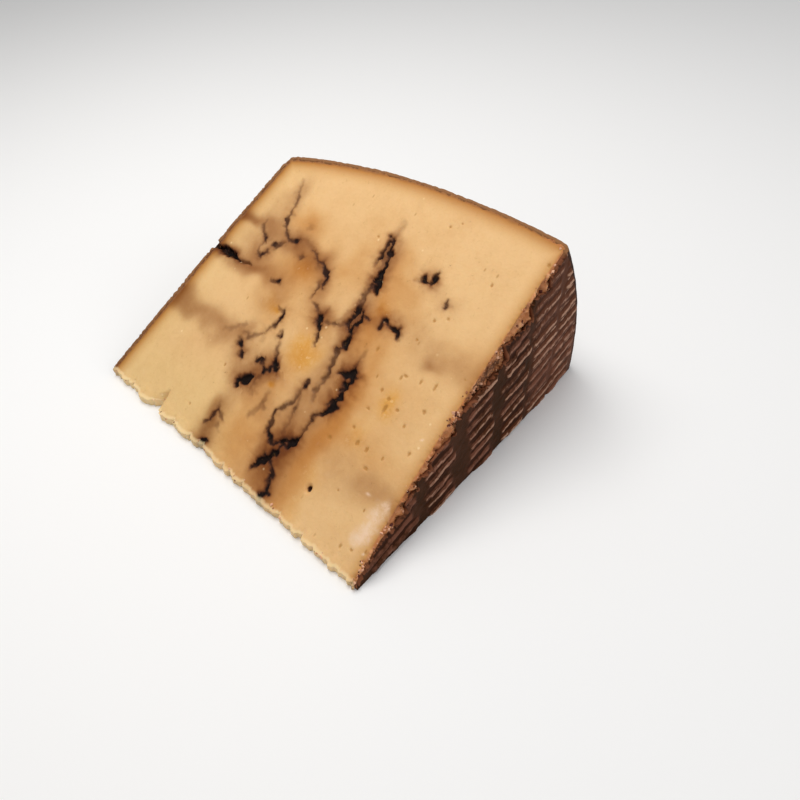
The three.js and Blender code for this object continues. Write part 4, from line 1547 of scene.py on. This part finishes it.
        return {
            "vein": veins["vein"],
            "ink": veins["ink"],
            "halo": veins["halo"],
            "hole": hole,
            "pit": pit,
            "depth": np.minimum(np.minimum(near, far - 1.7), rim - 1.0),
            "near": (near < self.side_reach).astype(float),
            "green": np.maximum(green, 0.6 * np.clip((y - 88) / 30, 0, 1)),
            "warm": fields.patches(WARM),
            "gold": fields.patches(GOLD),
            "stain": fields.patches(STAINS),
            "bare": is_bare * np.clip(1.4 - (near - self.inset) / 1.1, 0, 1),
            "scar": scar * is_bare * np.clip(1.5 - (near - self.inset) / 0.8, 0, 1),
            "pale": fields.patches(PALE_AND_GLINTS) * is_top,
            # where the painted highlight line along the inner edge lies
            "edge_highlight": np.exp(-(((slope - 0.2) / 1.1) ** 2)) * ~is_base,
            "inward": inward,
            "sink": veins["groove"] + hole_depth + 1.6 * pit,
            "back": self.teeth(x, y),
            "crumble": np.clip(1 - border / 2.0, 0, 1) * (1 + 0.6 * is_flank),
            "loose": self.loose(x, z, near, is_bare) * (below < self.crumb_drop),
        }

    def loose(
        self, x: Array, z: Array, near: Array, is_bare: Array
    ) -> Array:
        """How thickly crumbs lie at each point.

        Args:
            x: its distance from the inner edge, level.
            z: its height.
            near: its depth below the near side.
            is_bare: whether it shows torn paste.

        Returns:
            The share of the fullest cover, which may pass 1.
        """
        heaps = sum(np.exp(-(((x - at) / self.crumb_heap) ** 2)) for at in EDGE.crumbly) + 0.25
        cover = heaps * is_bare * np.clip(1.2 - (near - self.inset) / 1.8, 0, 1)
        at_tip = self.tip_crumbs * (np.abs(x) < 1.2)
        return np.maximum(cover, at_tip) * (z > self.crumb_lowest)

    def teeth(self, x: Array, y: Array) -> Array:
        """How far the ragged inner edge is pushed in, or less than 0 where a tooth stands out."""
        dice = np.random.default_rng(Seed.TEETH)
        places, reaches = [-1.0], [0.0]
        while places[-1] < FORM.thickness + 1:
            level = -FORM.tooth_reach * dice.uniform(0.0, 1.0)
            start = places[-1] + dice.uniform(*self.tooth_flanks)
            places += [start, start + dice.uniform(*self.tooth_steps)]
            reaches += [level, level + dice.uniform(-self.tooth_slant, self.tooth_slant)]
        total = np.interp(y, places, reaches)
        for at, before, beyond, depth in self.chips:
            total = total + np.interp(y, (at - before, at, at + beyond), (0, depth, 0))
        return total * np.clip(1 - np.maximum(x, 0) / (self.tooth_run + np.abs(total)), 0, 1)

    def build(self) -> bpy.types.Object:
        """Makes the piece.

        Returns:
            The paste, as a plain closed mesh.
        """
        sheet, values = self.sheet()
        mesh = sheet.build("paste", self.place)
        for name, value in values.items():
            store(mesh, name, value)
        relief = Relief("paste_relief")
        tooth_length = relief.size("Tooth Unevenness", self.tooth_unevenness * MM)
        crumble_depth = relief.size("Crumble Depth", self.crumble_depth * MM)
        swell = relief.size("Swell", self.swell * MM)
        jagged, rough = relief.noise(self.jagged), relief.noise(self.rough)
        sink = relief.field("sink") * MM * (rough * 1.6 + 0.2)
        crumble = relief.field("crumble") * (rough - 0.45).at_least(0.0) * 3.4 * crumble_depth
        depth = relief.noise(self.broad) * swell + sink + crumble
        dent = relief.scaled(relief.direction("inward"), depth)
        pushed = relief.field("back")
        back = pushed * MM + pushed.size().ramp(0.0, 0.25) * (jagged - 0.5) * tooth_length
        offset = relief.added(dent, relief.combined(back, 0.0, 0.0))
        return relief.run(mesh, relief.moved(relief.geometry(), offset), self.finish.material())


@dataclass
class Rind:
    """The rind over both flat sides and the rim, with the marks of mats and band."""

    place: Place
    finish: RindFinish = RindFinish()
    thickness: float = 1.1
    border_slant: float = 0.45  # how far its inner edge keeps back from the cuts
    flat_cells: int = 224
    rim_cells: int = 214
    round_steps: int = 5
    up_cells: int = 120
    ratio: int = 4  # cells of the outer surface for each of the inner one
    flake_zone: float = 12.0  # height over which the rows give way to the uneven border
    rib_pitch: float = 4.0  # between two rows at the inner edge
    rib_fan: float = 0.009  # growth of that pitch for each mm towards the rim
    rib_climb: float = 0.156  # slope of the row that is counted as the first
    rib_start: float = -4.3  # height at which it would meet the inner edge
    rib_height: float = 0.75
    rib_shift: float = 0.24  # of each strand from its row, as a share of the pitch
    row_shift: float = 0.22  # of each row
    strand: float = 6.0  # length of the straws' visible strands
    wander: float = 2.2
    panel_spread: float = 2.6  # unevenness of the panels' ends from row to row
    woven_from: float = 77.5  # outside this the rows lie closer, in a paler rind
    fade_run: float = 5.0
    far_share: float = 0.6  # strength of the far side's marks
    panels: tuple[Spot, ...] = (
        (5, 25, 0.35), (30, 42, 1), (49.5, 61, 1), (65.5, 77.5, 1), (79.5, 92, 1), (92.5, 105, 1)
    )  # start, end and how pale the crests are, from wear and painted highlight
    plait_height: float = 0.4
    plait_bands: int = 9
    plait_pitch: float = 7.0
    plait_rise: float = 5.0  # how far a rib climbs round the rim as it crosses its band
    plait_wander: float = 1.6
    mat_wander: Noise = Noise(70, 2, 0.5, 0.0, 31.0)
    mat_rough: Noise = Noise(260, 3, 0.6, 0.0, 32.0)
    streaks: Noise = Noise(1.0, 3, 0.6, 0.0, 37.0)
    band_wander: Noise = Noise(80, 2, 0.5, 0.0, 33.0)
    band_rough: Noise = Noise(240, 3, 0.6, 0.0, 34.0)
    pitted: Noise = Noise(330, 4, 0.65, 0.0, 35.0)
    broad: Noise = Noise(55, 2, 0.5, 0.0, 36.0)
    unevenness: float = 0.6

    def path(self, stride: int) -> tuple[Array, Array, Array]:
        """The way round the rind, from the near tip over the rim to the far tip.

        Args:
            stride: 1 for all places, more for every so many of them.

        Returns:
            The places out, across and which side each lies on, as arrays.
        """
        flat = np.linspace(0, 1, self.flat_cells + 1)[:-1]
        round_share = FORM.near_round / (FORM.far_side(FORM.radius) - FORM.near_side(FORM.radius))
        rim = arc_steps(round_share, self.round_steps, self.rim_cells)
        out = np.concatenate([flat, np.ones(len(rim)), flat[::-1]])
        across = np.concatenate([np.zeros(len(flat)), rim, np.ones(len(flat))])
        side = np.concatenate([
            np.full(len(flat), Side.NEAR.value),
            np.full(len(rim), Side.RIM.value),
            np.full(len(flat), Side.FAR.value),
        ])
        return out[::stride, None], across[::stride, None], side[::stride, None]

    def layer(self, inset: float, stride: int) -> Array:
        """One face of the shell, from the lower cut up to the uneven border of the upper one.

        Args:
            inset: depth below the outer surface.
            stride: 1 for all places, more for every so many of them.

        Returns:
            The points, as a grid of places round the path by places up.
        """
        out, across, side = self.path(stride)
        x, y, z = np.moveaxis(FORM.point(out, across, 1.0, inset), -1, 0)
        lost = FORM.share_of_arc(EDGE.drop(x, y, side), np.maximum(z, 2.0))
        zone = np.clip(self.flake_zone / np.maximum(z, 1.0), 0.2, 0.9)
        lost = np.minimum(lost, 0.9 * zone)  # so that no row turns over
        up = np.linspace(0, 1, self.up_cells // stride + 1)[None, :]
        return FORM.point(out, across, up - lost * np.clip(1 - (1 - up) / zone, 0, 1), inset)

    def sheet(self) -> tuple[Sheet, dict[str, Array]]:
        """Lays out the closed shell.

        Returns:
            The sheet and the named values of its vertices.
        """
        sheet = Sheet()
        outer_points = self.layer(0.0, 1)
        outer = sheet.add_points(outer_points)
        sheet.add_grid(outer)
        inner_points = self.layer(self.thickness, self.ratio)
        inner_points[:, -1, 2] -= self.border_slant
        inner_points[:, 0, 2] += self.border_slant
        inner = sheet.add_points(inner_points)
        sheet.add_grid(inner, flip=True)
        sheet.add_bridge(rim_loop(outer), rim_loop(inner), self.ratio)
        return sheet, self.values(sheet, outer_points)

    def values(self, sheet: Sheet, outer: Array) -> dict[str, Array]:
        """Works out what every vertex needs for its relief.

        Args:
            sheet: the laid out shell.
            outer: the outer surface's points, as a grid.

        Returns:
            The values by name.
        """
        outward = np.cross(np.gradient(outer, axis=0), np.gradient(outer, axis=1))
        outward /= np.maximum(np.linalg.norm(outward, axis=2, keepdims=True), 1e-9)
        slope = np.array([-math.sin(FORM.cut_angle), 0.0, math.cos(FORM.cut_angle)])
        for column, normal in ((0, np.array([0.0, 0.0, 1.0])), (-1, slope)):
            outward[:, column] -= (outward[:, column] @ normal)[:, None] * normal
        below = np.hypot(*(outer - outer[:, -1:]).T[[0, 2]]).T
        x, y, z = outer.reshape(-1, 3).T
        side = np.broadcast_to(self.path(1)[2], outer.shape[:2]).ravel()
        uneven = 0.5 * Ripples(2.0, Seed.FRAYED).at(x * 1.2 + y, z)
        fields = {
            "outward": outward.reshape(-1, 3),
            "skin": np.ones(len(x)),
            "mat_x": x,
            "mat_z": z,
            "axis_y": y,
            "arc": np.arctan2(z, x) * FORM.radius,
            "on_rim": (side == Side.RIM.value).astype(float),
            "far": (side == Side.FAR.value).astype(float),
        }
        below = below.ravel()
        is_near = side == Side.NEAR.value
        fields["edge"] = np.where(
            is_near, np.clip(0.7 - below / 0.7 + uneven, 0, 1.3), np.clip(1.0 - below / 0.5, 0, 1)
        )
        fields["calm"] = np.where(is_near, 1.0, 1 - 0.7 * np.exp(-below / 4))
        fields["near"] = is_near.astype(float)
        fields["faded"] = np.clip((x - self.woven_from) / self.fade_run, 0, 1) * is_near
        inner_rows = (sheet.count - len(x)) // len(self.path(self.ratio)[2])
        inner_side = np.repeat(self.path(self.ratio)[2].ravel(), inner_rows)
        rest = {
            name: np.zeros((len(inner_side), *value.shape[1:])) for name, value in fields.items()
        }
        rest["edge"] += 1
        rest["near"] = (inner_side == Side.NEAR.value).astype(float)
        return {name: np.concatenate([value, rest[name]]) for name, value in fields.items()}

    def mat_marks(self, relief: Relief) -> tuple[Value, Value, Value]:
        """The straw mat's ribs on the flat sides.

        Args:
            relief: the tree that they are made in.

        Returns:
            Their height, their crests and the panels that they lie in, each from 0 to 1.
        """
        wander, rough = relief.noise(self.mat_wander), relief.noise(self.mat_rough)
        x, z, far = relief.field("mat_x"), relief.field("mat_z"), relief.field("far")
        pitch = relief.size("Rib Pitch", self.rib_pitch) + relief.size("Rib Fan", self.rib_fan) * x
        first = relief.size("Rib Start", self.rib_start)
        first = first + relief.size("Rib Climb", self.rib_climb) * x
        row = (z - first + (wander - 0.5) * self.wander) / pitch + far * 0.5 + 0.5
        number = row.floor()
        row = row + (relief.chance(number, 9.0) - 0.5) * relief.size("Row Shift", self.row_shift)
        strand = (x / relief.size("Strand", self.strand) + relief.chance(number, 5.0)).floor()
        shift = relief.chance(strand, number) - 0.5
        row = row + shift * relief.size("Strand Shift", self.rib_shift)
        off_crest = (row - number - 0.5).size()
        along = relief.combined(x * 0.35, (z - x * self.rib_climb) * 1.6, far * 9.0)
        streak = relief.graph.noise(along, self.streaks)
        height, crests, panel = 0.0, 0.0, 0.0
        for index, (start, end, worn_and_lit) in enumerate(self.panels):
            luck = relief.chance(number, float(index) + far * 17.0)
            left = x - start - (luck - 0.5) * self.panel_spread
            right = end - x - (0.5 - luck) * self.panel_spread
            inside = left.ramp(-0.6, 1.0) * right.ramp(-0.6, 1.0)
            panel = inside + panel
            inside = inside * (0.45 + luck * 0.55)
            height = inside * off_crest.ramp(0.4, 0.08) + height
            crests = inside * off_crest.ramp(0.24, 0.05) * worn_and_lit + crests
            if start > self.woven_from:
                crests = inside * (0.5 - off_crest).ramp(0.16, 0.02) * 0.6 + crests
        crests = crests * streak.ramp(0.32, 0.6, 0.2, 1.25)
        height = height.at_most(1.0) * (0.45 + rough * 0.5 + streak * 0.4)
        height = height * (1.0 - far * (1 - self.far_share))
        return height, crests.at_most(1.0), panel.at_most(1.0)

    def plait_marks(self, relief: Relief) -> tuple[Value, Value]:
        """The plaited band's zigzag ribs round the rim: their height and crests, 0 to 1."""
        wander, rough = relief.noise(self.band_wander), relief.noise(self.band_rough)
        low = FORM.near_side(FORM.radius) + FORM.near_round
        high = FORM.far_side(FORM.radius) - FORM.far_round
        width = relief.size("Band Width", (high - low) / self.plait_bands)
        band = (relief.field("axis_y") - low) / width
        number = band.floor()
        share = band.fraction()
        turn = 1.0 - (number * 0.5).fraction() * 4.0
        rise = relief.size("Plait Rise", self.plait_rise)
        around = relief.field("arc") - turn * (share - 0.5) * rise
        around = around + relief.chance(number, 3.0) * 1.2 + (wander - 0.5) * self.plait_wander
        row = around / relief.size("Plait Pitch", self.plait_pitch)
        off_crest = (row.fraction() - 0.5).size()
        inside = share.ramp(0.0, 0.14) * share.ramp(1.0, 0.86)
        last = float(self.plait_bands)
        inside = inside * number.ramp(-0.6, -0.4) * number.ramp(last - 0.4, last - 0.6)
        height = inside * off_crest.ramp(0.42, 0.12) * (0.6 + rough * 0.7)
        strength = relief.chance(number, row.floor()) * 0.5 + rough.ramp(0.3, 0.7, 0.0, 0.6)
        return height, inside * off_crest.ramp(0.2, 0.06) * strength.at_most(0.9)

    def build(self) -> bpy.types.Object:
        """Makes the piece.

        Returns:
            The rind, as a plain closed mesh.
        """
        sheet, values = self.sheet()
        mesh = sheet.build("rind", self.place)
        for name, value in values.items():
            store(mesh, name, value)
        relief = Relief("rind_relief")
        skin = relief.field("skin")
        on_rim = relief.field("on_rim") * skin
        on_flat = (1.0 - relief.field("on_rim")) * skin
        mat_height, mat_crests, panel = self.mat_marks(relief)
        plait_height, plait_crests = self.plait_marks(relief)
        mat, plait = mat_height * on_flat, plait_height * on_rim
        crests = mat_crests * on_flat + plait_crests * on_rim
        height = mat * relief.size("Rib Height", self.rib_height * MM)
        height = height + plait * relief.size("Plait Height", self.plait_height * MM)
        uneven = relief.noise(self.pitted) - 0.5 + relief.noise(self.broad) - 0.5
        uneven = uneven * relief.size("Unevenness", self.unevenness * MM)
        geometry = relief.keep("relief", mat + plait, relief.geometry())
        geometry = relief.keep("crest", crests, geometry)
        geometry = relief.keep("ribbed", panel * on_flat + on_rim, geometry)
        rise = (height + uneven * skin) * relief.field("calm")
        offset = relief.scaled(relief.direction("outward"), rise)
        return relief.run(mesh, relief.moved(geometry, offset), self.finish.material())


@dataclass
class Crumbs:
    """Loose crumbs that sit along the broken edges, half sunk in the paste."""

    finish: CrumbFinish = CrumbFinish()
    per_square_metre: float = 1500000.0
    smallest: float = 0.2  # half a crumb's width
    largest: float = 0.8
    thinnest: Spot = (0.6, 0.6, 0.4)
    thickest: Spot = (1.3, 1.3, 0.9)
    kinds: int = 3
    heaps: Noise = Noise(260, 2, 0.5, 0.0, 42.0)
    lump_scale: float = 1.6
    first_lump: float = 43.0
    block: float = 1.3

    def build(self, paste: bpy.types.Object) -> bpy.types.Object:
        """Scatters the crumbs.

        Args:
            paste: the finished paste, whose loose values say where they lie.

        Returns:
            The crumbs, as one plain mesh.
        """
        mesh = paste.data.copy()
        mesh.name = "crumbs"
        relief = Relief("crumb_scatter")
        graph, seed = relief.graph, int(Seed.CRUMBS)
        density = relief.size("Density", self.per_square_metre)
        smallest = relief.size("Smallest", self.smallest * MM)
        largest = relief.size("Largest", self.largest * MM)
        likely = relief.field("loose") * relief.noise(self.heaps).ramp(0.4, 0.6) * density
        points = graph.node("GeometryNodeDistributePointsOnFaces", {}, {
            "Mesh": relief.geometry(), "Density": likely, "Seed": seed,
        })
        turn = relief.random_vector((0.0, 0.0, 0.0), (6.28, 6.28, 6.28), seed + 1)
        stretch = relief.random_vector(self.thinnest, self.thickest, seed + 2)
        luck = relief.random_number(seed + 3)
        scale = relief.scaled(stretch, smallest + (largest - smallest) * luck * luck)
        kind = relief.random_number(seed + 5) * float(self.kinds)
        placed = graph.node("GeometryNodeInstanceOnPoints", {}, {
            "Points": points.out("Points"), "Instance": self.lumps(relief), "Rotation": turn,
            "Pick Instance": True, "Instance Index": kind.floor(), "Scale": scale,
        })
        tone = relief.random_number(seed + 4)
        toned = relief.keep("tone", tone, placed.out(), "INSTANCE")
        return relief.run(mesh, toned, self.finish.material())

    def lumps(self, relief: Relief) -> Value:
        """Makes the few broken shapes that all crumbs are copies of, each two units wide."""
        graph = relief.graph
        shapes = graph.node("GeometryNodeJoinGeometry")
        for kind in range(self.kinds):
            block = graph.node("GeometryNodeMeshCube", {}, {
                "Size": (self.block,) * 3, "Vertices X": 3, "Vertices Y": 3, "Vertices Z": 3,
            })
            uneven = relief.noise(Noise(self.lump_scale, 1, 0.5, 0.0, self.first_lump + kind))
            place = relief.place()
            length = graph.node("ShaderNodeVectorMath", {"operation": "LENGTH"}, {0: place})
            swell = 1.0 / length.out("Value").at_least(0.3) * (uneven * 1.5 + 0.1)
            values = {"Geometry": block.out("Mesh"), "Position": relief.scaled(place, swell)}
            lump = graph.node("GeometryNodeSetPosition", {}, values)
            flat = {"Geometry": lump, "Shade Smooth": False}
            shaded = graph.node("GeometryNodeSetShadeSmooth", {}, flat)
            single = graph.node("GeometryNodeGeometryToInstance", {}, {0: shaded})
            graph.tree.links.new(single.out().socket, shapes.node.inputs[0])
        return shapes.out()


@dataclass(frozen=True)
class Lamp:
    """One soft square lamp that looks at the wedge; its sizes are in metres and its power in W."""

    name: str
    spot: Spot
    width: float
    power: float
    tint: Spot

    def build(self) -> None:
        """Adds the lamp to the scene."""
        data = bpy.data.lights.new(self.name, "AREA")
        data.size = self.width
        data.energy = self.power
        data.color = self.tint
        lamp = bpy.data.objects.new(self.name, data)
        bpy.context.scene.collection.objects.link(lamp)
        lamp.location = self.spot
        lamp.rotation_euler = (-Vector(self.spot)).to_track_quat("-Z", "Y").to_euler()


@dataclass
class Studio:
    """The camera, the floor and the light."""

    place: Place
    camera_from_tip: Spot = (-42.2, -64.4, 160.0)
    heading: float = math.radians(45.7)
    pitch: float = math.radians(48.04)
    roll: float = math.radians(-3.66)
    focal_pixels: float = 625.4
    image_pixels: float = 800.0
    sensor: float = 36.0
    closest: float = 0.005  # where the camera starts to see, in metres
    floor_half: float = 3.0
    floor_colour: Colour = (0.9, 0.9, 0.9, 1.0)
    floor_roughness: float = 0.7
    sky: float = 0.38
    lamps: tuple[Lamp, ...] = (
        Lamp("key", (0.0, 0.12, 0.48), 0.36, 1.75, (1.0, 0.98, 0.95)),
        Lamp("fill", (0.2, -0.7, 0.5), 0.7, 2.0, (0.97, 0.98, 1.0)),
    )

    def camera(self) -> None:
        """Makes the camera at the photograph's angle and makes it the scene's."""
        data = bpy.data.cameras.new("camera")
        data.sensor_width = self.sensor
        data.lens = self.sensor * self.focal_pixels / self.image_pixels
        data.clip_start = self.closest
        camera = bpy.data.objects.new("camera", data)
        bpy.context.scene.collection.objects.link(camera)
        ahead = Vector((
            math.cos(self.pitch) * math.cos(self.heading),
            math.cos(self.pitch) * math.sin(self.heading),
            -math.sin(self.pitch),
        ))
        right = Vector((math.sin(self.heading), -math.cos(self.heading), 0))
        above = right.cross(ahead)
        turned = right * math.cos(self.roll) + above * math.sin(self.roll)
        above = above * math.cos(self.roll) - right * math.sin(self.roll)
        turn = Matrix((turned, above, -ahead)).transposed()
        spot = self.place.to_metres(np.array(self.camera_from_tip))
        camera.matrix_world = Matrix.Translation(Vector(spot)) @ turn.to_4x4()
        bpy.context.scene.camera = camera

    def floor(self) -> None:
        """Makes the pale floor."""
        mesh = bpy.data.meshes.new("floor")
        half = self.floor_half
        corners = [(-half, -half, 0), (half, -half, 0), (half, half, 0), (-half, half, 0)]
        mesh.from_pydata(corners, [], [(0, 1, 2, 3)])
        floor = bpy.data.objects.new("floor", mesh)
        bpy.context.scene.collection.objects.link(floor)
        material = bpy.data.materials.new("floor")
        material.use_nodes = True
        shader = material.node_tree.nodes["Principled BSDF"]
        shader.inputs["Base Color"].default_value = self.floor_colour
        shader.inputs["Roughness"].default_value = self.floor_roughness
        mesh.materials.append(material)

    def light(self) -> None:
        """Adds the lamps and the pale surround."""
        for lamp in self.lamps:
            lamp.build()
        world = bpy.data.worlds.new("surround")
        bpy.context.scene.world = world
        world.use_nodes = True
        sky = world.node_tree.nodes["Background"]
        sky.inputs["Color"].default_value = (1.0, 1.0, 1.0, 1.0)
        sky.inputs["Strength"].default_value = self.sky
        bpy.context.scene.view_settings.view_transform = "Standard"


# ------------------------------------------------------------------ the whole


def attach(piece: bpy.types.Object) -> None:
    """Ties a finished piece to the body and logs how many faces it has."""
    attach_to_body(piece, "root")
    log.info("%s: %d faces", piece.name, len(piece.data.polygons))


def main() -> None:
    """Builds the wedge and the studio in order."""
    logging.basicConfig(level=logging.INFO, format="%(name)s %(message)s")
    place = Place.from_frame()
    studio = Studio(place)
    studio.camera()
    studio.floor()
    studio.light()
    paste = Paste(place).build()
    attach(paste)
    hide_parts(NODE)
    rind = Rind(place).build()
    attach(rind)
    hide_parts(NODE)
    attach(Crumbs().build(paste))


if __name__ == "__main__":
    main()
